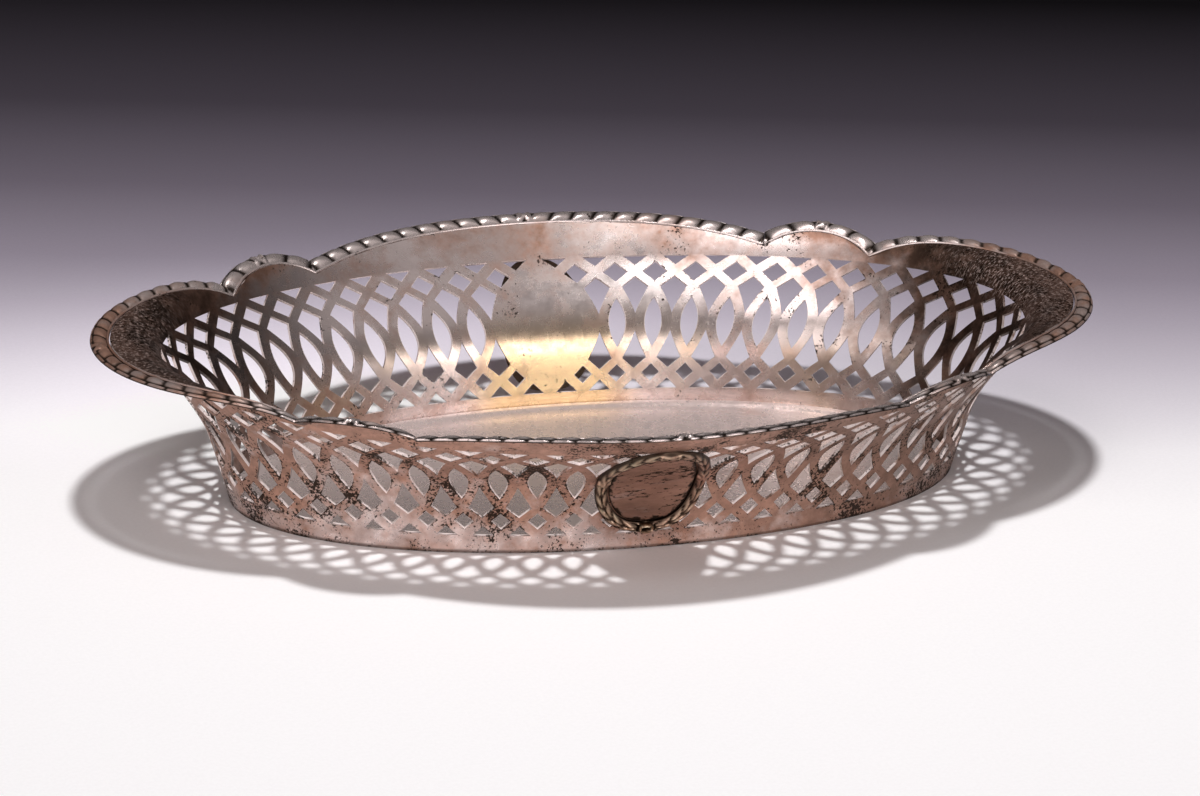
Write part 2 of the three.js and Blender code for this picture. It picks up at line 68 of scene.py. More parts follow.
# The eight lobes of the rim: where they meet on plan, and how the corner lobes swell
CUSP_INNER = (72.0, 72.6)
CUSP_OUTER = (102.4, 55.2)
CORNER_RISE = 4.6
END_LOBE_CENTRE = 74.5
CUSP_INNER_REPEAT = 6.0
CUSP_OUTER_REPEAT = 8.5

# The piercing: repeats in a quarter, and each opening as shares of one repeat across and
# of the half height up; a diamond is its middle, half height and half width
QUARTER = 13
REPEATS = 4 * QUARTER
LENS_HALF_WIDTH = 0.235
LENS_HALF_HEIGHT = 0.365
KITE_TIP, KITE_WIDE, KITE_TOP, KITE_HALF_WIDTH = 0.13, 0.53, 0.685, 0.345
KITE_BOW = 1.15
UPPER_DIAMOND = (0.757, 0.147, 0.313)
LOWER_DIAMOND = (0.75, 0.131, 0.255)
UPPER_TRIANGLE_TIP = 0.855
LOWER_TRIANGLE_TIP = 0.84
TRIANGLE_HALF_WIDTH = 0.31
FOOT_LEVEL = -1 - LEVEL_HEIGHTS[1] / (LEVEL_HEIGHTS[2] - LEVEL_HEIGHTS[1])
KNOTS = (FOOT_LEVEL, -1.0, 0.0, 1.0)

# The border, in millimetres: how far its outer foot hangs, the height of its bead, how far the
# flange runs under it and where the height of the flange is read
BORDER_DROP = 0.55
BEAD_HEIGHT = 0.8
SHEET_UNDER_BORDER = 0.25
SHEET_CLEAR = 0.75

# As shares: how much of the flange's climb the border keeps, how much of its width is leaves,
# and where the seam between their two rows lies, from -1 outside to 1 inside
BORDER_CLIMB = 0.36
ROLL_SHARE = 0.86
SEAM = -0.66

# The wreath's line on the wall: half its height and its middle as levels, how its width changes
# towards the top, how full its sides are (1 is an ellipse), and the far one's share of the width
WREATH_HALF_HEIGHT = 0.925
WREATH_MIDDLE = 0.035
WREATH_TAPER = -0.18
WREATH_FULLNESS = 0.80
BACK_WREATH_SHARE = 0.86

# In millimetres: one repeat and one level of the wall at the waist, the run round a wreath,
# and the gaps from the wall to wreath and shield, and from the wreath to its shield
REPEAT_WIDTH = 11.2
HALF_HEIGHT = 21.5
WREATH_RUN = 104.7
WALL_CLEAR = 0.12
SHIELD_CLEAR = 0.35

# The middles of the two long sides, counted in repeats
LONG_SIDES = (("front", 3 * QUARTER), ("back", QUARTER))

# How finely the pieces are made: the length of a row of the border in millimetres, and steps
BORDER_STEP = 0.5
LOBE_STEPS = 48
FLOOR_STEPS = 160
WREATH_STEPS = 200
WREATH_RISE = 12
SHIELD_STEPS = 96
TRIANGLE_STEPS = 3

# Plain sheet over and under the piercing: the levels of its rows
FLANGE_ROWS = (1.0, 1.05, 1.12, 1.22, 1.35, 1.5, 1.65, 1.8, 1.92, 2.0)
FOOT_ROWS = (-1.0, -1.1, -1.2, FOOT_LEVEL)

# The floor plate, in millimetres: gap to the wall, height of the shoulder over the plate, and
# where the flat of the plate begins behind the shoulder; and the gap at a mitre of the border
FLOOR_CLEAR = 0.08
SHOULDER_HEIGHT = 0.7
PLATE_START = 4.5
MITRE_CLEAR = 0.03

# Scales of the tarnish patches, of the clusters of pits, the pits and the finer dots
PATCH_SCALE = 38.0
CLUSTER_SCALE = 84.0
PIT_SCALE = 1180.0
DOT_SCALE = 2600.0

# Rubbing marks: how far each set is drawn out, and its turn; and how deep the marks are
RUBBING = (((260, 3200, 2600), 0.5), ((2600, 300, 3000), -0.35))
BUMP_DEPTH = 0.0001

# Turns a place on the oval wall into the way out from its middle
OUTWARD_STRETCH = (62.0, 165.0, 0.0)

# The paper: half its size and how far it lies under the bowl in metres, its painted light falloff that
# darkens it towards the back (share of the run and brightness), and the run, which slants a little to
# the right
PAPER_REACH = 4.0
PAPER_DROP = 0.0001
PAPER_FALLOFF = ((0.0, 1.0), (0.096, 0.92), (0.154, 0.78), (0.231, 0.60), (0.308, 0.43), (0.394, 0.28),
              (0.538, 0.140), (0.712, 0.052), (1.0, 0.004))
PAPER_FALLOFF_RUN = (-0.02, 0.50)
PAPER_SLANT = 0.25

# A painted pool of light where the paper is softly lighter: middle in metres, one over half length and
# half width, the share of the way out where it begins to fade, and how much lighter it is
PAPER_LIGHT_POOL = ((-0.020, 0.110, 0.0), (4.4, 8.4, 0.0), 0.10, 0.50)

# Both lamps, in metres
LAMP_SIZE = 0.12
LAMP_PLACE = (0.0, -0.03, 1.35)

# Bright patches of the room: direction, where each begins and is full as a cosine, and strength
LIGHT_PATCHES = (
    ((0.0, -0.75, 0.66), 0.15, 0.85, 0.16),
    ((-0.34, -0.30, 0.89), 0.965, 0.994, 2.7),
    ((-0.72, -0.60, 0.35), 0.86, 0.975, 1.3),
    ((0.28, -0.945, 0.15), 0.89, 0.98, 3.2),
    ((0.50, -0.13, 0.855), 0.955, 0.99, 0.22),
)

# Where the picture was taken from, in metres, and its right, its up and the way it looked
CAMERA_PLACE = (-0.38182, -1.37399, 0.59016)
CAMERA_AXES = ((0.96607, -0.25644, 0.03062), (0.06711, 0.36374, 0.92908), (0.24939, 0.89551, -0.36861))


class BowlSizes(bpy.types.PropertyGroup):
    """Sizes of the bowl and its sheet."""

    length: FloatProperty(name="Length", description="Overall length over the border",
                          default=0.300, unit="LENGTH")
    width: FloatProperty(name="Width", description="Overall width over the border",
                         default=0.1875, unit="LENGTH")
    sheet: FloatProperty(name="Sheet", description="Thickness of the silver sheet",
                         default=0.0009, unit="LENGTH")
    sawn_edge: FloatProperty(name="Sawn edge", description="Rounding of the sawn edges",
                             default=0.00016, unit="LENGTH")
    floor_thickness: FloatProperty(name="Floor", description="Thickness of the floor plate",
                                   default=0.0009, unit="LENGTH")
    floor_shoulder: FloatProperty(name="Floor shoulder", default=0.003, unit="LENGTH",
                                  description="Width of the raised edge of the floor")


class OrnamentSizes(bpy.types.PropertyGroup):
    """Sizes of the laurel border, the wreaths and the shields."""

    border_width: FloatProperty(name="Border width", description="Width of the laurel border",
                                default=0.0055, unit="LENGTH")
    leaf_height: FloatProperty(name="Leaf height", description="How far a leaf stands above the rim",
                               default=0.0014, unit="LENGTH")
    leaf_pitch: FloatProperty(name="Leaf pitch", description="Length of one leaf along the border",
                              default=0.0067, unit="LENGTH")
    leaf_slant: FloatProperty(name="Leaf slant", description="How far a leaf leans across the border",
                              default=0.0030, unit="LENGTH")
    tie_width: FloatProperty(name="Tie width", description="Length of the crossed ribbon on each lobe",
                             default=0.0042, unit="LENGTH")
    wreath_half_width: FloatProperty(name="Wreath half width", default=0.0146, unit="LENGTH",
                                     description="Half width to the wreath's middle")
    wreath_band: FloatProperty(name="Wreath band", description="Width of the wreath's band of leaves",
                               default=0.0037, unit="LENGTH")
    wreath_height: FloatProperty(name="Wreath height", default=0.0019, unit="LENGTH",
                                 description="How far the wreath stands off the wall")
    wreath_leaves: IntProperty(name="Wreath leaves", description="Leaves up each side of a wreath",
                               default=11)
    shield: FloatProperty(name="Shield thickness", description="Thickness of the plain shield",
                          default=0.0008, unit="LENGTH")


class SilverFinish(bpy.types.PropertyGroup):
    """Colours of the old silver."""

    bright: FloatVectorProperty(name="Bright silver", description="Rubbed silver",
                                subtype="COLOR", default=(0.91, 0.79, 0.76))
    tarnish: FloatVectorProperty(name="Tarnish", description="Brown tarnish of the sheet",
                                 subtype="COLOR", default=(0.64, 0.37, 0.275))
    # Dark tarnish is also the colour that painted shade darkens towards: the wall's outside and foot
    # line, and the shields' edges
    dark: FloatVectorProperty(name="Dark tarnish", description="Deep tarnish in hollows and pits",
                              subtype="COLOR", default=(0.030, 0.018, 0.012))
    gold: FloatVectorProperty(name="Warm tarnish", description="Golden first bloom of tarnish",
                              subtype="COLOR", default=(0.94, 0.70, 0.40))
    olive: FloatVectorProperty(name="Wreath silver", description="Rubbed silver of the wreaths",
                               subtype="COLOR", default=(0.74, 0.66, 0.46))


class StageLook(bpy.types.PropertyGroup):
    """Floor and lamps of the picture."""

    near: FloatVectorProperty(name="Floor near", description="Colour of the floor round the bowl",
                              subtype="COLOR", default=(0.98, 0.97, 0.98))
    lamp: FloatProperty(name="Lamp", description="Power of the main lamp",
                        default=10.3, unit="POWER")
    glint: FloatProperty(name="Glint lamp", description="Power of the lamp that shows in the silver",
                         default=2.0, unit="POWER")
    bright: FloatVectorProperty(name="Bright side", description="Light of the room in front on the left",
                                subtype="COLOR", default=(1.0, 0.935, 0.93))
    room: FloatProperty(name="Room", description="Strength of the light of the room", default=1.0)
    dim: FloatVectorProperty(name="Dim side", description="Light of the room behind and on the right",
                             subtype="COLOR", default=(0.030, 0.026, 0.027))
    lens: FloatProperty(name="Lens", description="Focal length of the camera in millimetres",
                        default=156.4)


def level_run(values, last_slope=None):
    """Smooth run through the four levels; the last slope can be set."""
    chord = [(values[i + 1] - values[i]) / (KNOTS[i + 1] - KNOTS[i]) for i in range(3)]
    slopes = [chord[0], (chord[0] + 3 * chord[1]) / 4, (chord[1] + 2 * chord[2]) / 3]
    slopes.append(1.5 * chord[2] - 0.5 * slopes[2] if last_slope is None else last_slope)

    def at(level):
        v = min(max(level, KNOTS[0]), KNOTS[3])
        i = 0 if v < KNOTS[1] else 1 if v < KNOTS[2] else 2
        h = KNOTS[i + 1] - KNOTS[i]
        t = (v - KNOTS[i]) / h
        t2, t3 = t * t, t * t * t
        return ((2 * t3 - 3 * t2 + 1) * values[i] + (t3 - 2 * t2 + t) * h * slopes[i]
                + (3 * t2 - 2 * t3) * values[i + 1] + (t3 - t2) * h * slopes[i + 1])

    return at


class Form:
    """The middle of the bowl's sheet and its rim, in millimetres."""

    def __init__(self, sizes, ornament):
        """Works out the runs of the sheet and the lobes of the rim from the sizes."""
        self.length = sizes.length / MM
        self.width = sizes.width / MM
        self.half = sizes.sheet / MM / 2
        self.border = ornament.border_width / MM
        self.half_length = level_run([v / 2 for v in LEVEL_LENGTHS], TOP_SPREAD_END)
        self.half_width = level_run([v / 2 for v in LEVEL_WIDTHS], TOP_SPREAD_SIDE)
        self.height = level_run(LEVEL_HEIGHTS, TOP_CLIMB)
        self.lift = level_run(END_LIFTS)
        self.square = level_run((SQUARE_FOOT, SQUARE_FOOT, (SQUARE_FOOT + SQUARE_TOP) / 2, SQUARE_TOP))
        lift_slope = (self.lift(1) - self.lift(0.98)) / 0.02
        self.slope_end = (TOP_CLIMB + lift_slope) / TOP_SPREAD_END
        self.slope_side = (TOP_CLIMB - lift_slope) / TOP_SPREAD_SIDE
        self.angle_rows = self._angle_table()
        self._make_lobes()

    def oval(self, angle, level):
        """Plan point of the wall at an angle and a level."""
        swell = 1 + self.square(level) * math.sin(2 * angle) ** 2
        return (self.half_length(level) * math.cos(angle) * swell,
                self.half_width(level) * math.sin(angle) * swell)

    def _angle_table(self, levels=24, steps=60, fine=360):
        """Angles that share each level's oval into equal steps along its own length."""
        rows = []
        for k in range(levels + 1):
            level = FOOT_LEVEL + (1 - FOOT_LEVEL) * k / levels
            points = [self.oval(math.pi / 2 * i / fine, level) for i in range(fine + 1)]
            run = [0.0]
            for a, b in zip(points, points[1:]):
                run.append(run[-1] + math.dist(a, b))
            row, i = [], 0
            for j in range(steps + 1):
                want = run[fine] * j / steps
                while i < fine - 1 and run[i + 1] < want:
                    i += 1
                row.append(math.pi / 2 * (i + (want - run[i]) / (run[i + 1] - run[i])) / fine)
            rows.append(row)
        return rows

    def _quarter_angle(self, share, level):
        """Angle at a share of a quarter's own length, read from the table."""
        k = min(max((level - FOOT_LEVEL) / (1 - FOOT_LEVEL), 0), 1) * (len(self.angle_rows) - 1)
        k0 = min(int(k), len(self.angle_rows) - 2)
        j = min(max(share, 0), 1) * (len(self.angle_rows[0]) - 1)
        j0 = min(int(j), len(self.angle_rows[0]) - 2)

        def at(row):
            return row[j0] + (row[j0 + 1] - row[j0]) * (j - j0)

        low = at(self.angle_rows[k0])
        return low + (at(self.angle_rows[k0 + 1]) - low) * (k - k0)

    def angle(self, place, level):
        """Angle at a place counted in repeats from the right-hand end, anticlockwise."""
        turn = (place / QUARTER) % 4
        quarter = int(turn)
        share = turn - quarter
        inside = (self._quarter_angle(share, level) if quarter % 2 == 0
                  else math.pi / 2 - self._quarter_angle(1 - share, level))
        return quarter * math.pi / 2 + inside

    def flange_height(self, x, y):
        """Height of the rim flange over any plan point beyond the piercing."""
        top_a, top_b = LEVEL_LENGTHS[3] / 2, LEVEL_WIDTHS[3] / 2
        angle = math.atan2(y / top_b, x / top_a)
        sin2, cos2 = math.sin(2 * angle) ** 2, math.cos(2 * angle)
        gauge = math.hypot(x / top_a, y / top_b) / (1 + SQUARE_TOP * sin2)
        beyond = (gauge - 1) / (math.hypot(x / top_a ** 2, y / top_b ** 2) / gauge)
        slope = ((self.slope_end + self.slope_side) / 2
                 + (self.slope_end - self.slope_side) / 2 * cos2 + RIM_STEEP_CORNER * sin2)
        soft = ((RIM_SOFT_END + RIM_SOFT_SIDE) / 2 + (RIM_SOFT_END - RIM_SOFT_SIDE) / 2 * cos2
                - RIM_SOFT_CORNER * sin2)
        bend = max(soft, 0.002)
        return (LEVEL_HEIGHTS[3] + END_LIFTS[3] * cos2
                + (1 - math.exp(-slope * beyond * bend)) / bend)

    @staticmethod
    def _arc(start, end, rise):
        """Points of an arc over two plan points that swells out by so much."""
        mid = ((start[0] + end[0]) / 2, (start[1] + end[1]) / 2)
        chord = math.dist(start, end)
        out = ((end[1] - start[1]) / chord, -(end[0] - start[0]) / chord)
        radius = (chord * chord / 4 + rise * rise) / (2 * rise)
        centre = (mid[0] - out[0] * (radius - rise), mid[1] - out[1] * (radius - rise))
        spread = math.atan2(chord / 2, radius - rise)
        facing = math.atan2(out[1], out[0])
        turns = [facing + spread * (2 * i / LOBE_STEPS - 1) for i in range(LOBE_STEPS + 1)]
        return [(centre[0] + radius * math.cos(a), centre[1] + radius * math.sin(a)) for a in turns]

    def _make_lobes(self):
        """The eight lobes of the rim, anticlockwise from the right-hand end."""
        reach = self.length / 2 - END_LOBE_CENTRE
        cusp = math.acos(min((CUSP_OUTER[0] - END_LOBE_CENTRE) / reach, 0.95))
        half_width = CUSP_OUTER[1] / math.sin(cusp)
        turns = [cusp * (2 * i / LOBE_STEPS - 1) for i in range(LOBE_STEPS + 1)]
        end = [(END_LOBE_CENTRE + reach * math.cos(t), half_width * math.sin(t)) for t in turns]
        corner = self._arc(CUSP_OUTER, CUSP_INNER, CORNER_RISE)
        side = self._arc(CUSP_INNER, (-CUSP_INNER[0], CUSP_INNER[1]), self.width / 2 - CUSP_INNER[1])
        q, near, far = QUARTER, CUSP_INNER_REPEAT, CUSP_OUTER_REPEAT

        def mirrored(run):
            return [(-x, y) for x, y in reversed(run)]

        def turned(run):
            return [(-x, -y) for x, y in run]

        table = [("end_right", end, far - q, q - far), ("corner_back_right", corner, q - far, q - near),
                 ("side_back", side, q - near, q + near),
                 ("corner_back_left", mirrored(corner), q + near, q + far),
                 ("end_left", turned(end), q + far, 3 * q - far),
                 ("corner_front_left", turned(corner), 3 * q - far, 3 * q - near),
                 ("side_front", turned(side), 3 * q - near, 3 * q + near),
                 ("corner_front_right", turned(mirrored(corner)), 3 * q + near, 3 * q + far)]
        self.lobes = []
        for name, run, start, stop in table:
            lengths = [0.0]
            for a, b in zip(run, run[1:]):
                lengths.append(lengths[-1] + math.dist(a, b))
            self.lobes.append({"name": name, "run": run, "from": start, "to": stop,
                               "lengths": lengths, "length": lengths[-1]})
        inset = self.border + SHEET_UNDER_BORDER
        for index, lobe in enumerate(self.lobes):
            lobe["sheet_ends"] = (self.mitre(index, inset, False, 0), self.mitre(index, inset, True, 0))

    @staticmethod
    def along(lobe, distance):
        """Plan point and heading at a distance along a lobe; runs straight on past its ends."""
        lengths = lobe["lengths"]
        low, high = 0, LOBE_STEPS - 1
        while low < high:
            mid = (low + high) // 2
            if lengths[mid + 1] < distance:
                low = mid + 1
            else:
                high = mid
        a, b = lobe["run"][low], lobe["run"][low + 1]
        step = lengths[low + 1] - lengths[low]
        f = (distance - lengths[low]) / step
        heading = ((b[0] - a[0]) / step, (b[1] - a[1]) / step)
        return (a[0] + (b[0] - a[0]) * f, a[1] + (b[1] - a[1]) * f), heading

    def inset_point(self, lobe, distance, inset):
        """Plan point at a distance along a lobe and so far in from its edge."""
        (x, y), heading = self.along(lobe, distance)
        return x - heading[1] * inset, y + heading[0] * inset

    def mitre(self, index, inset, at_end, clear):
        """Where an inset line reaches the mitre that halves the corner between two lobes."""
        lobe = self.lobes[index]
        other = self.lobes[(index + (1 if at_end else len(self.lobes) - 1)) % len(self.lobes)]
        corner, mine = self.along(lobe, lobe["length"] if at_end else 0)
        theirs = self.along(other, 0 if at_end else other["length"])[1]
        run = (mine[0] + theirs[0], mine[1] + theirs[1])
        size = math.hypot(*run)
        want = -clear if at_end else clear
        low = (lobe["length"] if at_end else 0) - 9
        high = low + 18
        for _ in range(40):
            mid = (low + high) / 2
            p = self.inset_point(lobe, mid, inset)
            if ((p[0] - corner[0]) * run[0] + (p[1] - corner[1]) * run[1]) / size < want:
                low = mid
            else:
                high = mid
        return (low + high) / 2

    def rim(self, place):
        """Plan point on the edge of the sheet."""
        start = self.lobes[0]["from"]
        wrapped = (place - start) % REPEATS + start
        lobe = next(l for l in self.lobes if l["from"] - 1e-9 <= wrapped <= l["to"] + 1e-9)
        share = (wrapped - lobe["from"]) / (lobe["to"] - lobe["from"])
        low, high = lobe["sheet_ends"]
        return self.inset_point(lobe, low + (high - low) * share, self.border + SHEET_UNDER_BORDER)

    def sheet(self, place, level):
        """Middle of the sheet: levels up to 1 are pierced wall, 1 to 2 run out over the flange."""
        angle = self.angle(place, min(level, 1))
        x, y = self.oval(angle, min(level, 1))
        if level <= 1:
            return Vector((x, y, self.height(level) + self.lift(level) * math.cos(2 * angle)))
        rim = self.rim(place)
        x += (rim[0] - x) * (level - 1)
        y += (rim[1] - y) * (level - 1)
        return Vector((x, y, self.flange_height(x, y)))

    def on_wall(self, place, level, out):
        """A point that stands off the outside of the pierced wall."""
        v = min(max(level, FOOT_LEVEL + 0.01), 1.9)
        across = self.sheet(place + 0.02, v) - self.sheet(place - 0.02, v)
        up = self.sheet(place, v + 0.01) - self.sheet(place, v - 0.01)
        return self.sheet(place, level) + across.cross(up).normalized() * out


# Forms that are already worked out, by their sizes
forms = {}


def current_form(context):
    """The bowl's form, made once for the sizes that are set now."""
    sizes, ornament = context.scene.bowl_sizes, context.scene.bowl_ornament
    key = (sizes.length, sizes.width, sizes.sheet, ornament.border_width)
    if key not in forms:
        forms[key] = Form(sizes, ornament)
    return forms[key]


def closed_chain(bm, points):
    """A closed run of edges through points."""
    verts = [bm.verts.new(p) for p in points]
    return [bm.edges.new((verts[i - 1], verts[i])) for i in range(len(verts))]


def open_chain(bm, points):
    """An open run of edges through points."""
    verts = [bm.verts.new(p) for p in points]
    return [bm.edges.new(pair) for pair in zip(verts, verts[1:])]


def bent_sides(curve, steps):
    """Points along a run of bent sides; the curve gives the point at a share of one side."""
    return [curve(i, k / count) for i, count in enumerate(steps) for k in range(count)]


def straight_sides(corners, steps):
    """Points along a run of straight sides, so many steps a side."""

    def side(i, t):
        a, b = corners[i], corners[(i + 1) % len(corners)]
        return a[0] + (b[0] - a[0]) * t, a[1] + (b[1] - a[1]) * t

    return bent_sides(side, steps)


def eased(low, high, steps):
    """Shares from low to high that crowd towards both ends."""
    return [low + (high - low) / 2 * (1 - math.cos(math.pi * i / steps)) for i in range(steps + 1)]


def finish_piece(context, name, bm, material, replaced, smooth_angle=None):
    """Turns a bmesh in millimetres into a finished piece that stands for its CAD nodes."""
    if not bm.faces:
        raise RuntimeError(f"{name} came out with no faces")
    bmesh.ops.scale(bm, vec=(MM, MM, MM), verts=bm.verts)
    bmesh.ops.recalc_face_normals(bm, faces=bm.faces)
    mesh = bpy.data.meshes.new(name)
    bm.to_mesh(mesh)
    bm.free()
    mesh.shade_smooth()
    if smooth_angle:
        mesh.set_sharp_from_angle(angle=math.radians(smooth_angle))
    mesh.materials.append(material)
    piece = bpy.data.objects.new(name, mesh)
    context.scene.collection.objects.link(piece)
    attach(piece, "root")
    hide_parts(*replaced)
    return piece


# Each opening and the cell of strap round it, on the flat: shares across and levels up

def lens_lines():
    """The tall pointed lens and its cell, both between four bent sides."""
    signs = ((1, -1), (1, 1), (-1, 1), (-1, -1))
    steps = (6, 6, 6, 6)

    def edge(i, t):
        return (*signs[i], 1 - t if i in (0, 2) else t)

    def cell(i, t):
        side, up, share = edge(i, t)
        level = 0.5 * share
        return side * (0.5 - 2 * level * level), up * level

    def opening(i, t):
        side, up, share = edge(i, t)
        return side * LENS_HALF_WIDTH * (1 - share * share), up * LENS_HALF_HEIGHT * share

    return bent_sides(cell, steps), bent_sides(opening, steps)


def kite_lines():
    """The kite between two lenses and its cell: bowed below, straight above."""
    steps = (6, 3, 3, 6)

    def edge(i, t):
        return 1 if i < 2 else -1, i in (0, 3), t if i in (0, 2) else 1 - t

    def cell(i, t):
        side, low, share = edge(i, t)
        if low:
            level = 0.5 * share
            return side * 2 * level * level, level
        level = 0.75 - 0.25 * share
        return side * (0.5 - 2 * (level - 0.5)), level

    def opening(i, t):
        side, low, share = edge(i, t)
        if low:
            return side * KITE_HALF_WIDTH * share ** KITE_BOW, KITE_TIP + (KITE_WIDE - KITE_TIP) * share
        return side * KITE_HALF_WIDTH * share, KITE_TOP + (KITE_WIDE - KITE_TOP) * share

    return bent_sides(cell, steps), bent_sides(opening, steps)


def diamond_lines(middle, half_height, half_width):
    """A diamond and its cell."""
    steps = (3, 3, 3, 3)
    corners = ((0, middle - half_height), (half_width, middle), (0, middle + half_height),
               (-half_width, middle))
    cell = ((0, 0.5), (0.5, 0.75), (0, 1), (-0.5, 0.75))
    return straight_sides(cell, steps), straight_sides(corners, steps)


def triangle_lines(opening_tip):
    """The two legs of a triangle and of its cell; both stand on the plain band."""

    def legs(foot, tip):
        half = straight_sides(((-foot, 1), (0, tip)), (TRIANGLE_STEPS,))
        return half + [(0, tip)] + [(-x, y) for x, y in reversed(half)]

    return legs(0.5, 0.75), legs(TRIANGLE_HALF_WIDTH, opening_tip)


# Offset in a repeat, outlines of the cell and the opening, above or below the middle, and
# within how many repeats of the middle of a long side the opening stays solid, as its panel
CELLS = (
    (0.0, lens_lines(), (1,), 1.2),
    (0.5, kite_lines(), (1, -1), 0.7),
    (0.0, diamond_lines(*UPPER_DIAMOND), (1,), 0.3),
    (0.0, diamond_lines(*LOWER_DIAMOND), (-1,), 0.3),
    (0.5, triangle_lines(UPPER_TRIANGLE_TIP), (1,), 0.0),
    (0.5, triangle_lines(LOWER_TRIANGLE_TIP), (-1,), 0.0),
)


def add_cell(bm, column, up, lines, solid):
    """Bridges the middle of the straps to the edge of one opening, or fills the opening."""
    cell, opening = [[(column + u, up * s, 0.0) for u, s in run] for run in lines]
    if len(cell) == 2 * TRIANGLE_STEPS + 1:
        bmesh.ops.bridge_loops(bm, edges=open_chain(bm, cell) + open_chain(bm, opening))
        return
    outer = closed_chain(bm, cell)
    inner = closed_chain(bm, opening)
    bmesh.ops.bridge_loops(bm, edges=outer + inner)
    if not solid:
        return
    middle = Vector((sum(p[0] for p in opening), sum(p[1] for p in opening), 0)) / len(opening)
    for share in (0.66, 0.33):
        shrunk = closed_chain(bm, [middle + (Vector(p) - middle) * share for p in opening])
        bmesh.ops.bridge_loops(bm, edges=inner + shrunk)
        inner = shrunk
    filled = bmesh.ops.contextual_create(bm, geom=inner)
    bmesh.ops.poke(bm, faces=filled["faces"])


def add_band(bm, rows):
    """A plain band of sheet whose columns match the feet of the small triangles."""
    shares = (0.0, 0.5 - TRIANGLE_HALF_WIDTH, 0.5, 0.5 + TRIANGLE_HALF_WIDTH)
    run = [(k + u, rows[0], 0.0) for k in range(REPEATS) for u in shares] + [(REPEATS, rows[0], 0.0)]
    edges = open_chain(bm, run)
    for low, high in zip(rows, rows[1:]):
        made = bmesh.ops.extrude_edge_only(bm, edges=edges)["geom"]
        verts = [g for g in made if isinstance(g, bmesh.types.BMVert)]
        edges = [g for g in made if isinstance(g, bmesh.types.BMEdge)]
        bmesh.ops.translate(bm, vec=(0, high - low, 0), verts=verts)


class BOWL_OT_wall(bpy.types.Operator):
    """Builds the pierced wall and its rim flange from one sheet"""

    bl_idname = "bowl.wall"
    bl_label = "Pierced Wall"

    def execute(self, context):
        form = current_form(context)
        sizes = context.scene.bowl_sizes
        bm = bmesh.new()
        edge_layer = bm.verts.layers.float.new("edge")
        for k in range(REPEATS):
            for offset, lines, ups, reach in CELLS:
                place = (k + offset) % (2 * QUARTER)
                for up in ups:
                    add_cell(bm, k + offset, up, lines, abs(place - QUARTER) < reach)
        add_band(bm, FLANGE_ROWS)
        add_band(bm, FOOT_ROWS)
        for v in bm.verts:
            v.co = form.sheet(v.co.x, v.co.y)
        bmesh.ops.remove_doubles(bm, verts=bm.verts, dist=0.02)
        for v in bm.verts:
            v[edge_layer] = 1.0 if v.is_boundary else 0.0
        wall = finish_piece(context, "pierced_wall", bm, sheet_silver(context), ["wall"])
        solid = wall.modifiers.new("Sheet", "SOLIDIFY")
        solid.thickness = sizes.sheet
        solid.offset = 0
        bevel = wall.modifiers.new("Sawn edge", "BEVEL")
        bevel.width = sizes.sawn_edge
        bevel.segments = 2
        bevel.limit_method = "ANGLE"
        bevel.angle_limit = math.radians(45)
        bevel.harden_normals = True
        return {"FINISHED"}


class BOWL_OT_floor(bpy.types.Operator):
    """Builds the floor plate with its raised shoulder"""

    bl_idname = "bowl.floor"
    bl_label = "Floor"

    def execute(self, context):
        form = current_form(context)
        sizes = context.scene.bowl_sizes
        thick, shoulder = sizes.floor_thickness / MM, sizes.floor_shoulder / MM
        edge = form.half + FLOOR_CLEAR
        half_length, half_width = LEVEL_LENGTHS[0] / 2, LEVEL_WIDTHS[0] / 2
        top = thick + SHOULDER_HEIGHT
        # Distance in from the middle of the wall, and height; the last two points are poles
        profile = [(half_width, 0.0), (edge + 4, 0.0), (edge, 0.0), (edge, top - 0.25),
                   (edge + 0.25, top), (edge + shoulder - 0.6, top + 0.05),
                   (edge + shoulder, top - 0.1), (edge + shoulder + 0.7, thick + 0.25),
                   (edge + shoulder + 1.6, thick + 0.02), (edge + shoulder + PLATE_START, thick),
                   (half_width * 0.45, thick - 0.05), (half_width, thick - 0.08)]
        bm = bmesh.new()
        rims = open_chain(bm, [(half_width - back, 0, z) for back, z in profile])
        geom = list({v for e in rims for v in e.verts}) + rims
        bmesh.ops.spin(bm, geom=geom, cent=(0, 0, 0), axis=(0, 0, 1), angle=math.tau,
                       steps=FLOOR_STEPS, use_merge=True)
        bmesh.ops.remove_doubles(bm, verts=bm.verts, dist=0.001)
        # The round plate is drawn out to the foot's oval
        for v in bm.verts:
            angle = math.atan2(v.co.y, v.co.x)
            reach = math.hypot(v.co.x, v.co.y)
            share = min(reach / (half_width - edge - shoulder - PLATE_START), 1)
            swell = 1 + SQUARE_FOOT * math.sin(2 * angle) ** 2
            stretch = half_length - half_width
            v.co.x = (reach + stretch * share) * math.cos(angle) * swell
            v.co.y = reach * math.sin(angle) * swell
        finish_piece(context, "floor_plate", bm, floor_silver(context), ["floor"], 40)
        return {"FINISHED"}


def leaf_swell(phase, power):
    """Height of a plump leaf, 0 in the grooves at whole numbers and 1 along its middle."""
    t = abs(2 * (phase - math.floor(phase)) - 1)
    return math.sqrt(max(0.0, 1 - t ** power))


def round_top(x):
    """Height of a half circle: 1 in its middle, 0 at -1 and 1 and beyond."""
    return math.sqrt(max(0.0, 1 - x * x))


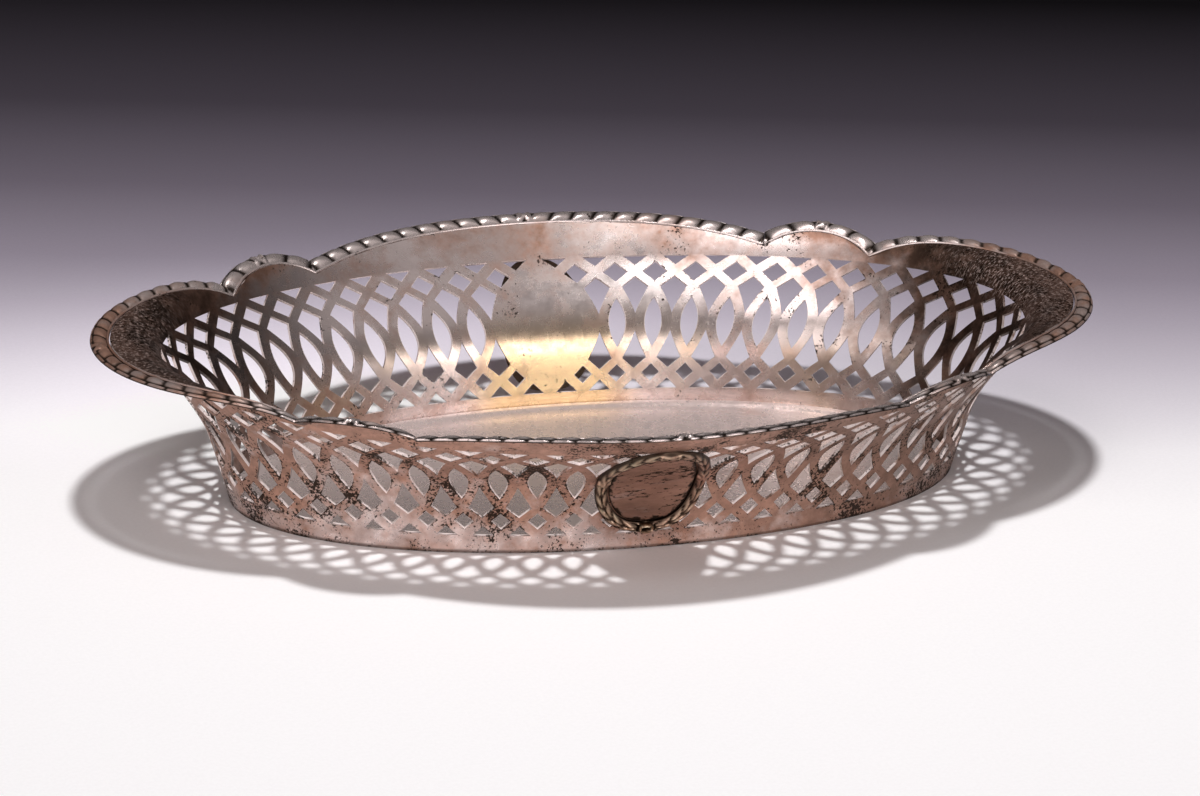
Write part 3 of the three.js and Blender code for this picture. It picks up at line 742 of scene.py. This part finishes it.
def bent_band(along, around, bend, wrap=True):
    """A grid bent into a closed band; bend gives the point and the shade of row i, column j."""
    bm = bmesh.new()
    columns = around if wrap else around - 1
    bmesh.ops.create_grid(bm, x_segments=along, y_segments=columns, size=0.5)
    relief = bm.verts.layers.float.new("relief")
    for v in bm.verts:
        point, shade = bend(round((v.co.x + 0.5) * along), round((v.co.y + 0.5) * columns) % around)
        v.co = point
        v[relief] = shade
    bmesh.ops.remove_doubles(bm, verts=bm.verts, dist=0.003)
    ends = [e for e in bm.edges if e.is_boundary]
    if ends:
        bmesh.ops.holes_fill(bm, edges=ends, sides=0)
    return bm


class BOWL_OT_borders(bpy.types.Operator):
    """Builds the eight mitred lengths of laurel border with their crossed ties"""

    bl_idname = "bowl.borders"
    bl_label = "Laurel Borders"

    @staticmethod
    def section():
        """Shares of the width from the outer foot over the leaves and the bead to the inner foot."""
        return [0.0] + eased(0.0, ROLL_SHARE, 11) + eased(ROLL_SHARE, 1.0, 7)[1:-1] + [1.0]

    @staticmethod
    def relief(share, run, length, ornament):
        """Height above the rim and depth of shade at a share of the width and a distance."""
        half_tie = ornament.tie_width / MM / 2
        half_run = length / 2 - half_tie
        pitch = half_run / max(1, round(half_run / (ornament.leaf_pitch / MM)))
        slant = ornament.leaf_slant / MM
        high = ornament.leaf_height / MM
        if share > ROLL_SHARE:
            # The thin round bead along the inner side
            across = 2 * (share - ROLL_SHARE) / (1 - ROLL_SHARE) - 1
            bead = round_top(across)
            return max(0.05, BEAD_HEIGHT * bead), bead
        m = min(run, length - run)
        x = 2 * share / ROLL_SHARE - 1
        crown = round_top(x)
        if m > half_run:
            # Two ribbons that cross on the tie, between two narrow bands
            u = (m - half_run) / half_tie - 1
            ribbons = max(0, 1 - 2.4 * abs(u - x), 1 - 2.4 * abs(u + x), 1 - 5 * abs(abs(u) - 0.85))
            mask = 0.25 + 0.75 * math.sqrt(ribbons)
            high *= 1.15
        else:
            # Two rows of leaves that lean apart from a seam, and point to the tie
            phase = (m - slant * (x / 2)) / pitch
            inner = leaf_swell(phase, 1.7) * (0.78 + 0.22 * (phase - math.floor(phase)))
            outer = leaf_swell((m + slant * (x + 1) / 2) / pitch + 0.3, 3.2)
            side = min(max((x - SEAM) / 0.10 + 0.5, 0), 1)
            seam = min(1, abs(x - SEAM) / 0.12)
            mask = (0.8 * outer * (1 - side) + inner * side) * (0.35 + 0.65 * seam)
        top = high * (0.12 + 0.88 * mask)
        lift = (BORDER_DROP + top) * crown - BORDER_DROP
        return (max(lift, 0.05) if x > 0 else lift), mask * crown ** 0.14

    def execute(self, context):
        form = current_form(context)
        ornament = context.scene.bowl_ornament
        material = laurel_silver(context)
        shares = self.section()
        last = len(shares) - 1
        for index, lobe in enumerate(form.lobes):
            spans = [(form.mitre(index, s * form.border, False, MITRE_CLEAR),
                      form.mitre(index, s * form.border, True, MITRE_CLEAR)) for s in shares]
            rows = round(lobe["length"] / BORDER_STEP)

            def bend(i, j):
                run = spans[j][0] + (spans[j][1] - spans[j][0]) * i / rows
                x, y = form.inset_point(lobe, run, shares[j] * form.border)
                start = form.flange_height(*form.inset_point(lobe, run, form.border + SHEET_CLEAR))
                base = start + BORDER_CLIMB * (form.flange_height(x, y) - start)
                lift, shade = -BORDER_DROP, 0.0
                if 0 < j < last:
                    lift, shade = self.relief(shares[j], lobe["length"] * i / rows, lobe["length"],
                                              ornament)
                return (x, y, base + lift), shade

            finish_piece(context, f"laurel_{lobe['name']}", bent_band(rows, len(shares), bend),
                         material, [f"border_{lobe['name']}"], 75)
        return {"FINISHED"}


def wreath_point(ornament, centre, angle, grow):
    """Place and level of a point round a shield; grow moves it out from the wreath's middle."""
    reach = ornament.wreath_half_width / MM * (BACK_WREATH_SHARE if centre == QUARTER else 1.0) + grow
    rise = WREATH_HALF_HEIGHT + grow / HALF_HEIGHT
    level = rise * math.sin(angle) + WREATH_MIDDLE
    cosine = math.cos(angle)
    across = reach * math.copysign(abs(cosine) ** WREATH_FULLNESS, cosine)
    across *= 1 + WREATH_TAPER * math.sin(angle)
    return centre + across / REPEAT_WIDTH, level


class BOWL_OT_wreaths(bpy.types.Operator):
    """Builds the two laurel wreaths with their rosettes, ribbon and ring"""

    bl_idname = "bowl.wreaths"
    bl_label = "Laurel Wreaths"

    @staticmethod
    def relief(turn, across, ornament):
        """Height off the wall at a share of the way round from the foot, and across the band."""
        high = ornament.wreath_height / MM
        band = ornament.wreath_band / MM / 2
        m = 1 - abs(2 * turn - 1)
        round_run = WREATH_RUN / 2 * m
        pitch = WREATH_RUN / 2 / ornament.wreath_leaves
        crown = round_top(across)
        # Leaves in pairs along a stem, higher towards their tips
        phase = (round_run - 0.9 * pitch * abs(across)) / pitch
        tip = 0.7 + 0.3 * (phase - math.floor(phase))
        stem = 0.55 + 0.45 * min(1, abs(across) / 0.22)
        mask = leaf_swell(phase, 2.4) * stem * tip
        # A thin bead round the shield
        if across < -0.78:
            mask = 0.8 * round_top((across + 0.9) / 0.12)
            crown = max(crown, 0.6)
        # A rosette half way up each side
        dx, dy = (m - 0.5) * WREATH_RUN / 2, across * band
        r, spin = math.hypot(dx, dy) / (1.12 * band), math.atan2(dy, dx)
        if r < 1:
            petals = 0.72 + 0.28 * math.cos(5 * spin)
            heart = 1.0 if r < 0.26 else 0.45 if r < 0.36 else petals
            return high * (0.35 + 0.85 * heart * math.sqrt(1 - r * r * 0.8)), heart
        # A ring at the foot
        r = math.hypot(round_run, dy) / band
        if r < 1.05:
            ring = max(0.0, 1 - ((r - 0.62) / 0.26) ** 2)
            return high * (0.25 + 1.0 * math.sqrt(ring)), ring
        # A crossed ribbon at the top
        u = (1 - m) * WREATH_RUN / 2 / 2.6
        if u < 1:
            ribbons = max(0, 1 - 2.6 * abs(u - abs(across)), 1 - 4 * abs(u - 0.85))
            mask = 0.2 + 0.8 * math.sqrt(ribbons)
        return high * (0.28 + 0.72 * mask) * crown, mask * crown

    def execute(self, context):
        form = current_form(context)
        ornament = context.scene.bowl_ornament
        material = wreath_silver(context)
        band = ornament.wreath_band / MM
        shares = [-1.0] + eased(-1.0, 1.0, WREATH_RISE) + [1.0]
        for name, centre in LONG_SIDES:

            def bend(i, j):
                turn = (i % WREATH_STEPS) / WREATH_STEPS
                place, level = wreath_point(ornament, centre, math.tau * (turn - 0.25),
                                            shares[j] * band / 2)
                lift, shade = 0.0, 0.0
                if 0 < j < len(shares) - 1:
                    lift, shade = self.relief(turn, shares[j], ornament)
                return form.on_wall(place, level, form.half + WALL_CLEAR + lift), shade

            band_mesh = bent_band(WREATH_STEPS, len(shares), bend)
            finish_piece(context, f"wreath_of_laurel_{name}", band_mesh, material,
                         [f"wreath_{name}"], 75)
        return {"FINISHED"}


class BOWL_OT_shields(bpy.types.Operator):
    """Builds the two plain shields, each a thin domed plate inside its wreath"""

    bl_idname = "bowl.shields"
    bl_label = "Plain Shields"

    def execute(self, context):
        form = current_form(context)
        ornament = context.scene.bowl_ornament
        material = shield_silver(context)
        edge = -ornament.wreath_band / MM / 2 - SHIELD_CLEAR
        thick = ornament.shield / MM
        # Share out from the middle and height: the underside, the rounded edge, then the dome
        profile = ((0.0, 0.0), (0.5, 0.0), (0.9, 0.0), (0.985, 0.0), (1.0, 0.2), (1.0, 0.55),
                   (0.985, 0.8), (0.95, 0.92), (0.85, 1.0), (0.65, 1.1), (0.4, 1.16), (0.2, 1.18),
                   (0.0, 1.2))
        for name, centre in LONG_SIDES:

            def bend(i, j):
                share, height = profile[j]
                turn = (i % SHIELD_STEPS) / SHIELD_STEPS
                place, level = wreath_point(ornament, centre, math.tau * turn, edge)
                point = form.on_wall(centre + (place - centre) * share,
                                     WREATH_MIDDLE + (level - WREATH_MIDDLE) * share,
                                     form.half + WALL_CLEAR + thick * height)
                # The relief mark rises towards the rim of the plate, where the shield's finish paints
                # shade
                return point, 1 - share ** 10

            plate = bent_band(SHIELD_STEPS, len(profile), bend, False)
            finish_piece(context, f"plain_shield_{name}", plate, material,
                         [f"shield_{name}"], 60)
        return {"FINISHED"}


def join(tree, value, socket):
    """Links a number or a node's output to a socket, or sets the socket to a plain value."""
    value = value.socket if isinstance(value, Number) else value
    if isinstance(value, bpy.types.NodeSocket):
        tree.links.new(value, socket)
    else:
        socket.default_value = value


def add(tree, kind, inputs=None, **settings):
    """Adds a node with its settings, and joins what is given to its inputs."""
    node = tree.nodes.new(kind)
    for name, value in settings.items():
        setattr(node, name, value)
    for key, value in (inputs or {}).items():
        join(tree, value, node.inputs[key])
    return node


class Number:
    """A number in a node tree; its sums, differences and products are Math nodes."""

    def __init__(self, tree, socket):
        """Holds the tree and the socket that gives the number."""
        self.tree = tree
        self.socket = socket

    def maths(self, operation, first, second=0.0):
        """The result of one Math node."""
        node = add(self.tree, "ShaderNodeMath", {0: first, 1: second}, operation=operation)
        return Number(self.tree, node.outputs[0])

    def __add__(self, other):
        """This number and another."""
        return self.maths("ADD", self, other)

    __radd__ = __add__

    def __sub__(self, other):
        """This number less another."""
        return self.maths("SUBTRACT", self, other)

    def __rsub__(self, other):
        """A plain value less this number."""
        return self.maths("SUBTRACT", other, self)

    def __mul__(self, other):
        """This number times another."""
        return self.maths("MULTIPLY", self, other)

    def larger(self, other):
        """The larger of this number and another."""
        return self.maths("MAXIMUM", self, other)

    def clamped(self):
        """Holds the last sum or product between 0 and 1."""
        self.socket.node.use_clamp = True
        return self

    def span(self, low, high, to_low=0.0, to_high=1.0, smooth=True):
        """Maps the number from one span to another, held at both ends."""
        node = add(self.tree, "ShaderNodeMapRange",
                   {"Value": self, "From Min": low, "From Max": high, "To Min": to_low,
                    "To Max": to_high},
                   interpolation_type="SMOOTHSTEP" if smooth else "LINEAR")
        return Number(self.tree, node.outputs["Result"])


def vector_maths(tree, operation, first, second=None, result="Vector"):
    """The result of one Vector Math node."""
    inputs = {0: first}
    if second is not None:
        inputs["Scale" if operation == "SCALE" else 1] = second
    return add(tree, "ShaderNodeVectorMath", inputs, operation=operation).outputs[result]


def mixed(tree, share, first, second):
    """Mixes two colours by a share."""
    node = add(tree, "ShaderNodeMix", data_type="RGBA")
    colours = [i for i in node.inputs if i.type == "RGBA"]
    for socket, value in zip((node.inputs["Factor"], *colours), (share, first, second)):
        join(tree, value, socket)
    return next(o for o in node.outputs if o.type == "RGBA")


class Spot:
    """A place on the surface, in metres, and what the finishes read there."""

    def __init__(self, tree, place):
        """Holds the tree and the output that gives the place."""
        self.tree = tree
        self.place = place

    def along(self, axis):
        """One coordinate of the place."""
        parts = add(self.tree, "ShaderNodeSeparateXYZ", {0: self.place})
        return Number(self.tree, parts.outputs[axis])

    def noise(self, scale, detail=4.0, rough=0.55):
        """A soft noise, about 0.3 to 0.7."""
        node = add(self.tree, "ShaderNodeTexNoise", {"Vector": self.place, "Scale": scale,
                                                     "Detail": detail, "Roughness": rough})
        return Number(self.tree, node.outputs["Fac"])

    def mark(self, name):
        """A number that the mesh itself carries."""
        node = add(self.tree, "ShaderNodeAttribute", attribute_name=name)
        return Number(self.tree, node.outputs["Fac"])

    def height(self, low, high):
        """0 at one height and 1 at another."""
        return self.along("Z").span(low, high)

    def ends(self, low, high):
        """0 in the middle of the bowl's length and 1 towards its two ends."""
        x = self.along("X")
        return x.maths("ABSOLUTE", x).span(low, high)

    def outside(self):
        """1 on the outer face of the wall and 0 on its inner face."""
        spread = vector_maths(self.tree, "MULTIPLY", self.place, OUTWARD_STRETCH)
        outward = vector_maths(self.tree, "NORMALIZE", spread)
        facing = add(self.tree, "ShaderNodeNewGeometry").outputs["Normal"]
        cosine = vector_maths(self.tree, "DOT_PRODUCT", outward, facing, "Value")
        return Number(self.tree, cosine).span(-0.25, 0.25)


def node_group(name, inputs, outputs, build):
    """A node group, made once; inputs are (name, kind, default) and build gives the outputs."""
    if name in bpy.data.node_groups:
        return bpy.data.node_groups[name]
    tree = bpy.data.node_groups.new(name, "ShaderNodeTree")
    for label, kind, default in inputs:
        socket = tree.interface.new_socket(label, in_out="INPUT", socket_type=f"NodeSocket{kind}")
        if default is not None:
            socket.default_value = default
    for label, kind in outputs:
        tree.interface.new_socket(label, in_out="OUTPUT", socket_type=f"NodeSocket{kind}")
    given = tree.nodes.new("NodeGroupInput").outputs
    out = tree.nodes.new("NodeGroupOutput")
    for socket, value in zip(out.inputs, build(tree, given)):
        join(tree, value, socket)
    return tree


def placed_mask(tree, group, **inputs):
    """A one-output group placed in a tree with its own values."""
    return Number(tree, add(tree, "ShaderNodeGroup", inputs, node_tree=group).outputs[0])


def tarnish_patches():
    """Soft patches of tarnish: a wide noise broken up by a finer one."""

    def build(tree, given):
        spot, scale = Spot(tree, given["Vector"]), Number(tree, given["Scale"])
        wide = spot.noise(scale, 8, 0.70)
        fine = spot.noise(scale * 7.0, 4, 0.6)
        edge = Number(tree, given["Cover"]).span(0, 1, 0.72, 0.28, smooth=False)
        return [((wide * 0.78 + fine * 0.22 - edge) * 4.6 + 0.5).clamped()]

    return node_group("Tarnish patches", [("Vector", "Vector", None), ("Scale", "Float", PATCH_SCALE),
                                          ("Cover", "Float", 0.5)], [("Mask", "Float")], build)


def black_pits():
    """Black pits and finer dots that gather in clusters."""

    def build(tree, given):
        spot = Spot(tree, given["Vector"])
        cluster = spot.noise(CLUSTER_SCALE, 3, 0.62)
        reach = Number(tree, given["Amount"]) * 0.30 + (cluster - 0.5) * 0.9
        pits = ((spot.noise(PIT_SCALE, 3, 0.65) - (0.805 - reach)) * 18.0).clamped()
        dots = ((spot.noise(DOT_SCALE, 2, 0.5) - (0.93 - reach)) * 16.0).clamped()
        return [pits.larger(dots)]

    return node_group("Black pits", [("Vector", "Vector", None), ("Amount", "Float", 0.5)],
                      [("Mask", "Float")], build)


def rubbing_marks():
    """Fine rubbing marks in two directions, as a height."""

    def build(tree, given):
        marks = []
        for stretch, turn in RUBBING:
            placed = add(tree, "ShaderNodeMapping", {"Vector": given["Vector"], "Scale": stretch,
                                                     "Rotation": (0.2, 0.3, turn)})
            marks.append(Spot(tree, placed.outputs["Vector"]).noise(1.0, 3, 0.6))
        return [(marks[0] + marks[1]) * 0.5]

    return node_group("Rubbing marks", [("Vector", "Vector", None)], [("Height", "Float")], build)


def old_silver():
    """Old silver: bright metal under tarnish patches, dark pits and rubbing marks."""
    places = [("Vector", "Vector", None)]
    colours = [(label, "Color", None) for label in ("Bright", "Tarnish", "Dark", "Gold")]
    shares = [(label, "Float", 0.0) for label in ("Cover", "Pits", "Shade", "Warm", "Edge", "Hatch",
                                                  "Haze", "Polish", "Worn")]

    def build(tree, given):
        spot = Spot(tree, given["Vector"])
        hatch, haze, edge = (Number(tree, given[label]) for label in ("Hatch", "Haze", "Edge"))
        polish, worn = Number(tree, given["Polish"]), Number(tree, given["Worn"])
        patches = placed_mask(tree, tarnish_patches(), Vector=given["Vector"], Scale=PATCH_SCALE,
                              Cover=given["Cover"])
        pits = placed_mask(tree, black_pits(), Vector=given["Vector"], Amount=given["Pits"])
        marks = placed_mask(tree, rubbing_marks(), Vector=given["Vector"])
        mottle = spot.noise(240.0, 5, 0.65).span(0.3, 0.7)
        brown = mixed(tree, mottle * 0.35, given["Tarnish"], given["Dark"])
        rubbed = mixed(tree, given["Warm"], given["Bright"], given["Gold"])
        metal = mixed(tree, edge, mixed(tree, patches, rubbed, brown), given["Bright"])
        # Shade darkens towards Dark: painted shade on the wall's outside and round the shields, dark
        # tarnish at the wall's ends and in the hollows of the laurel and wreaths
        shaded = mixed(tree, given["Shade"], metal, given["Dark"])
        scratched = mixed(tree, 0.45, given["Bright"], given["Tarnish"])
        hatched = mixed(tree, hatch * 0.85, shaded, scratched)
        colour = mixed(tree, pits * 0.97, hatched, given["Dark"])
        rough = (polish + patches * (worn - polish) + mottle * 0.08 + pits * 0.35).clamped()
        matte = ((edge * 0.9).larger(hatch * 0.5).larger(patches * 0.08) + haze).clamped()
        height = spot.noise(30.0, 2, 0.5) * 6.0 + marks * 0.16 - pits * 0.5 + hatch * 0.8
        return [colour, rough, 1.0 - matte, height]

    return node_group("Old silver", places + colours + shares,
                      [("Color", "Color"), ("Roughness", "Float"), ("Metallic", "Float"),
                       ("Height", "Float")], build)


def silver_material(context, name, bump, bright=None, stretch=(1, 1, 1), **looks):
    """A silver finish; each look feeds the input of its name, as a value or a function of a spot."""
    if name in bpy.data.materials:
        return bpy.data.materials[name]
    finish = context.scene.bowl_finish
    material = bpy.data.materials.new(name)
    material.use_nodes = True
    tree = material.node_tree
    tree.nodes.clear()
    spot = Spot(tree, add(tree, "ShaderNodeTexCoord").outputs["Object"])
    inputs = {"Vector": vector_maths(tree, "MULTIPLY", spot.place, stretch)}
    for label, colour in (("Bright", bright or finish.bright), ("Tarnish", finish.tarnish),
                          ("Dark", finish.dark), ("Gold", finish.gold)):
        inputs[label] = (*colour, 1)
    for label, look in looks.items():
        inputs[label.capitalize()] = look(spot) if callable(look) else look
    silver = add(tree, "ShaderNodeGroup", inputs, node_tree=old_silver()).outputs
    relief = add(tree, "ShaderNodeBump", {"Height": silver["Height"], "Strength": bump,
                                          "Distance": BUMP_DEPTH})
    shader = add(tree, "ShaderNodeBsdfPrincipled",
                 {"Base Color": silver["Color"], "Roughness": silver["Roughness"],
                  "Metallic": silver["Metallic"], "Normal": relief.outputs["Normal"]})
    add(tree, "ShaderNodeOutputMaterial", {"Surface": shader.outputs["BSDF"]})
    return material


def inner_part(share, out):
    """A share that mostly keeps to the inner face."""
    return share * (1.0 - out * 0.8)


def end_hatch(spot):
    """Fine scratches that run outwards over the flange at the two ends."""
    tree, x, y = spot.tree, spot.along("X"), spot.along("Y")
    beyond = x.maths("ABSOLUTE", x) - END_LOBE_CENTRE * MM
    flat = add(tree, "ShaderNodeCombineXYZ", {"X": x, "Y": y}).outputs[0]
    far = vector_maths(tree, "LENGTH", flat, result="Value")
    run = add(tree, "ShaderNodeCombineXYZ", {"X": y.maths("ARCTAN2", y, beyond) * 0.22, "Y": far})
    lines = Spot(tree, run.outputs[0]).noise(640.0, 4, 0.7).span(0.52, 0.62)
    return lines * (spot.ends(0.110, 0.134) * spot.height(0.040, 0.046))


def sheet_silver(context):
    """Wall: brown outside, brighter inside with a golden bloom low down, dark at the two ends; painted
    shade darkens the outside towards the right and in a thin line along the foot.
    """

    def cover(spot):
        out = spot.outside()
        ends = inner_part(spot.ends(0.080, 0.130), out)
        rim = spot.height(0.030, 0.044)
        above_foot = spot.height(0.004, 0.014)
        right = spot.along("X").span(-0.06, 0.08, 0.20, 0.46)
        lobe = spot.ends(0.068, 0.084) * spot.height(0.044, 0.050)
        return (ends * 0.45 + rim * 0.14 + out * above_foot * 0.26 + out * right + lobe * 0.36
                + 0.30).clamped()

    def haze(spot):
        return spot.outside() * (spot.height(0.014, 0.004) * 0.25 + 0.08)

    def pits(spot):
        out, line = spot.outside(), spot.mark("edge")
        ends = inner_part(spot.ends(0.09, 0.14), out)
        near_edge = line.span(0.70, 0.90) * line.span(0.99, 0.93)
        return out * 0.43 + ends * 0.50 + near_edge * 0.35 + 0.30

    def shade(spot):
        out = spot.outside()
        cloud = spot.noise(75.0, 8, 0.7).span(0.36, 0.62)
        ends = spot.ends(0.064, 0.120) * (cloud * 0.44 + 0.54)
        # Painted shade: the outside darkens towards the right-hand end, with a cloudy mottle mixed in
        side = spot.along("X").span(0.0, 0.09, 0.0, 0.42) + cloud * 0.18
        # Painted shadow: a thin dark line round the bottom of the outside, where the foot meets the
        # floor
        foot = spot.height(0.0014, 0.0005) * 0.7
        return inner_part(ends, out).larger(side.larger(foot) * out)

    def warm(spot):
        inside = 1.0 - spot.outside()
        patch = spot.noise(26.0, 3, 0.5).span(0.42, 0.66, 0.0, 0.6)
        middle = 1.0 - spot.ends(0.014, 0.032)
        return spot.height(0.031, 0.017) * inside * patch.larger(middle)

    def edge(spot):
        return spot.mark("edge").span(0.90, 1.0) * spot.noise(150.0, 3).span(0.30, 0.52)

    return silver_material(context, "Sheet silver", 0.6, cover=cover, pits=pits, shade=shade, warm=warm,
                           edge=edge, hatch=end_hatch, haze=haze, polish=0.20, worn=0.36)


def floor_silver(context):
    """Floor plate: the best rubbed face of the bowl, duller towards its far side."""

    def haze(spot):
        return spot.along("Y").span(-0.015, 0.035, 0.20, 0.34)

    return silver_material(context, "Floor silver", 0.07, cover=0.10, pits=0.12, haze=haze,
                           polish=0.24, worn=0.30)


def hollow_shade(strength, low, high):
    """Dark tarnish in the hollows of the stamped work."""

    def shade(spot):
        return spot.mark("relief").span(low, high, 1.0, 0.0) * strength

    return shade


def laurel_silver(context):
    """Border: bright on the backs of the leaves, black in the grooves, browner at the ends."""
    hollows = hollow_shade(0.99, 0.26, 0.74)

    def cover(spot):
        return spot.ends(0.08, 0.14) * 0.42 + 0.22

    def shade(spot):
        return hollows(spot).larger(spot.ends(0.08, 0.13) * 0.24)

    def haze(spot):
        return spot.ends(0.07, 0.13) * 0.14 + 0.14

    return silver_material(context, "Laurel silver", 0.3, cover=cover, pits=0.34, shade=shade,
                           haze=haze, polish=0.22, worn=0.38)


def wreath_silver(context):
    """Wreath: rubbed leaves with a golden tinge over dark hollows."""
    return silver_material(context, "Wreath silver", 0.3, context.scene.bowl_finish.olive, cover=0.58,
                           pits=0.35, shade=hollow_shade(0.97, 0.34, 0.86), polish=0.22, worn=0.36)


def shield_silver(context):
    """Shield: even brown tarnish with streaks of black specks; painted shade along its ragged edge,
    where it meets the wreath, and darker towards its foot.
    """

    def shade(spot):
        # Painted shade of the gap round the shield: dark along its ragged edge, from the relief mark
        # that rises towards the rim of the plate
        ragged_edge_shade = spot.mark("relief") + spot.noise(420.0, 4).span(0.3, 0.7, -0.32, 0.32)
        return ragged_edge_shade.span(0.20, 0.62, 1.0, 0.24).larger(spot.height(0.026, 0.012) * 0.45)

    return silver_material(context, "Shield silver", 0.5, stretch=(0.35, 0.6, 1.2), cover=0.80,
                           pits=0.66, shade=shade, polish=0.34, worn=0.46)


class BOWL_OT_stage(bpy.types.Operator):
    """Sets the pale floor, the soft lamps and the camera of the picture"""

    bl_idname = "bowl.stage"
    bl_label = "Floor, Lamps and Camera"

    def execute(self, context):
        look = context.scene.bowl_stage
        self.add_floor(context, look)
        self.add_lamps(context, look)
        self.add_world(context, look)
        self.add_camera(context, look)
        context.scene.view_settings.view_transform = "Standard"
        return {"FINISHED"}

    @staticmethod
    def paper(look):
        """White paper with a painted light falloff that darkens it towards the back, and a painted pool
        of light that makes it a little lighter behind the pierced wall.
        """
        material = bpy.data.materials.new("Studio paper")
        material.use_nodes = True
        tree = material.node_tree
        tree.nodes.clear()
        spot = Spot(tree, add(tree, "ShaderNodeTexCoord").outputs["Object"])
        # Painted light falloff: the paper's colour darkens towards the back, slanting a little to the
        # right, and turns violet as it darkens
        back = spot.along("Y") + spot.along("X") * PAPER_SLANT
        fade = add(tree, "ShaderNodeValToRGB", {"Fac": back.span(*PAPER_FALLOFF_RUN, smooth=False)})
        stops = fade.color_ramp.elements
        for at, level in PAPER_FALLOFF:
            stop = stops[0] if at == 0 else stops[len(stops) - 1] if at == 1 else stops.new(at)
            stop.color = (level, level * (0.85 + 0.15 * level), level * (1.10 - 0.10 * level), 1)
        # Painted pool of light: the paper's colour is raised by up to half inside an oval behind the
        # pierced wall, on top of a fine grain
        middle, shares, low, gain = PAPER_LIGHT_POOL
        behind = vector_maths(tree, "SUBTRACT", spot.place, middle)
        behind = vector_maths(tree, "MULTIPLY", behind, shares)
        far = Number(tree, vector_maths(tree, "LENGTH", behind, result="Value"))
        grain_and_light_pool = spot.noise(900.0, 3).span(0.3, 0.7, 0.97, 1.0) * far.span(low, 1.0, 1.0 + gain, 1.0)
        tinted = vector_maths(tree, "MULTIPLY", fade.outputs["Color"], look.near)
        tinted = vector_maths(tree, "SCALE", tinted, grain_and_light_pool)
        colour = vector_maths(tree, "MINIMUM", tinted, (1.0, 1.0, 1.0))
        shader = add(tree, "ShaderNodeBsdfPrincipled", {"Base Color": colour, "Roughness": 0.8,
                                                        "Specular IOR Level": 0.1})
        add(tree, "ShaderNodeOutputMaterial", {"Surface": shader.outputs["BSDF"]})
        return material

    def add_floor(self, context, look):
        """A wide sheet of paper just under the bowl."""
        bm = bmesh.new()
        bmesh.ops.create_grid(bm, x_segments=8, y_segments=8, size=PAPER_REACH)
        bmesh.ops.translate(bm, vec=(0, 0, -PAPER_DROP), verts=bm.verts)
        mesh = bpy.data.meshes.new("studio_floor")
        bm.to_mesh(mesh)
        bm.free()
        mesh.materials.append(self.paper(look))
        floor = bpy.data.objects.new("studio_floor", mesh)
        context.scene.collection.objects.link(floor)

    @staticmethod
    def add_lamps(context, look):
        """Two lamps in one place: one lights the paper and casts the shadow, one shows in the silver."""
        for name, power in (("Main lamp", look.lamp), ("Glint lamp", look.glint)):
            lamp = bpy.data.lights.new(name, "AREA")
            lamp.shape = "DISK"
            lamp.size = LAMP_SIZE
            lamp.energy = power
            holder = bpy.data.objects.new(name, lamp)
            holder.location = LAMP_PLACE
            holder.visible_glossy = name == "Glint lamp"
            context.scene.collection.objects.link(holder)

    @staticmethod
    def add_world(context, look):
        """The light of the room: a dim even light with a few soft bright patches."""
        world = bpy.data.worlds.new("Studio")
        context.scene.world = world
        world.use_nodes = True
        tree = world.node_tree
        tree.nodes.clear()
        way = add(tree, "ShaderNodeTexCoord").outputs["Generated"]
        total = 0.0
        for side, low, high, strength in LIGHT_PATCHES:
            toward = Number(tree, vector_maths(tree, "DOT_PRODUCT", way, side, "Value"))
            total = toward.span(low, high) * strength + total
        glow = vector_maths(tree, "SCALE", look.bright, total)
        sky = vector_maths(tree, "ADD", glow, look.dim)
        light = add(tree, "ShaderNodeBackground", {"Color": sky, "Strength": look.room})
        add(tree, "ShaderNodeOutputWorld", {"Surface": light.outputs["Background"]})

    @staticmethod
    def add_camera(context, look):
        """The camera, where the picture was taken from."""
        camera = bpy.data.cameras.new("Camera")
        camera.sensor_width = 36.0
        camera.lens = look.lens
        camera.clip_end = 20.0
        holder = bpy.data.objects.new("Camera", camera)
        right, up, forward = (Vector(v) for v in CAMERA_AXES)
        turn = Matrix((right, up, -forward)).transposed()
        holder.matrix_world = Matrix.Translation(Vector(CAMERA_PLACE)) @ turn.to_4x4()
        context.scene.collection.objects.link(holder)
        context.scene.camera = holder


STEPS = (BOWL_OT_wall, BOWL_OT_floor, BOWL_OT_borders, BOWL_OT_wreaths, BOWL_OT_shields, BOWL_OT_stage)


class BOWL_PT_panel(bpy.types.Panel):
    """Lists the steps that build the bowl, and its sizes and colours"""

    bl_idname = "BOWL_PT_panel"
    bl_label = "Pierced Bowl"
    bl_space_type = "VIEW_3D"
    bl_region_type = "UI"
    bl_category = "Bowl"

    def draw(self, context):
        """Draws a button for each step and a box for each group of values."""
        for step in STEPS:
            self.layout.operator(step.bl_idname)
        for name, kind in GROUPS:
            box = self.layout.box()
            for value in kind.__annotations__:
                box.prop(getattr(context.scene, name), value)


GROUPS = (("bowl_sizes", BowlSizes), ("bowl_ornament", OrnamentSizes), ("bowl_finish", SilverFinish),
          ("bowl_stage", StageLook))


def register():
    """Registers the value groups, the steps and the panel."""
    for name, group in GROUPS:
        bpy.utils.register_class(group)
        setattr(bpy.types.Scene, name, PointerProperty(type=group))
    for item in (*STEPS, BOWL_PT_panel):
        bpy.utils.register_class(item)


def unregister():
    """Takes away what register added, last first."""
    for item in reversed((*STEPS, BOWL_PT_panel)):
        bpy.utils.unregister_class(item)
    for name, group in reversed(GROUPS):
        delattr(bpy.types.Scene, name)
        bpy.utils.unregister_class(group)


def main():
    """Builds the stage and the bowl."""
    register()
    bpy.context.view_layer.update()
    bpy.ops.bowl.stage()
    bpy.ops.bowl.wall()
    bpy.ops.bowl.floor()
    bpy.ops.bowl.borders()
    bpy.ops.bowl.wreaths()
    bpy.ops.bowl.shields()


if __name__ == "__main__":
    main()
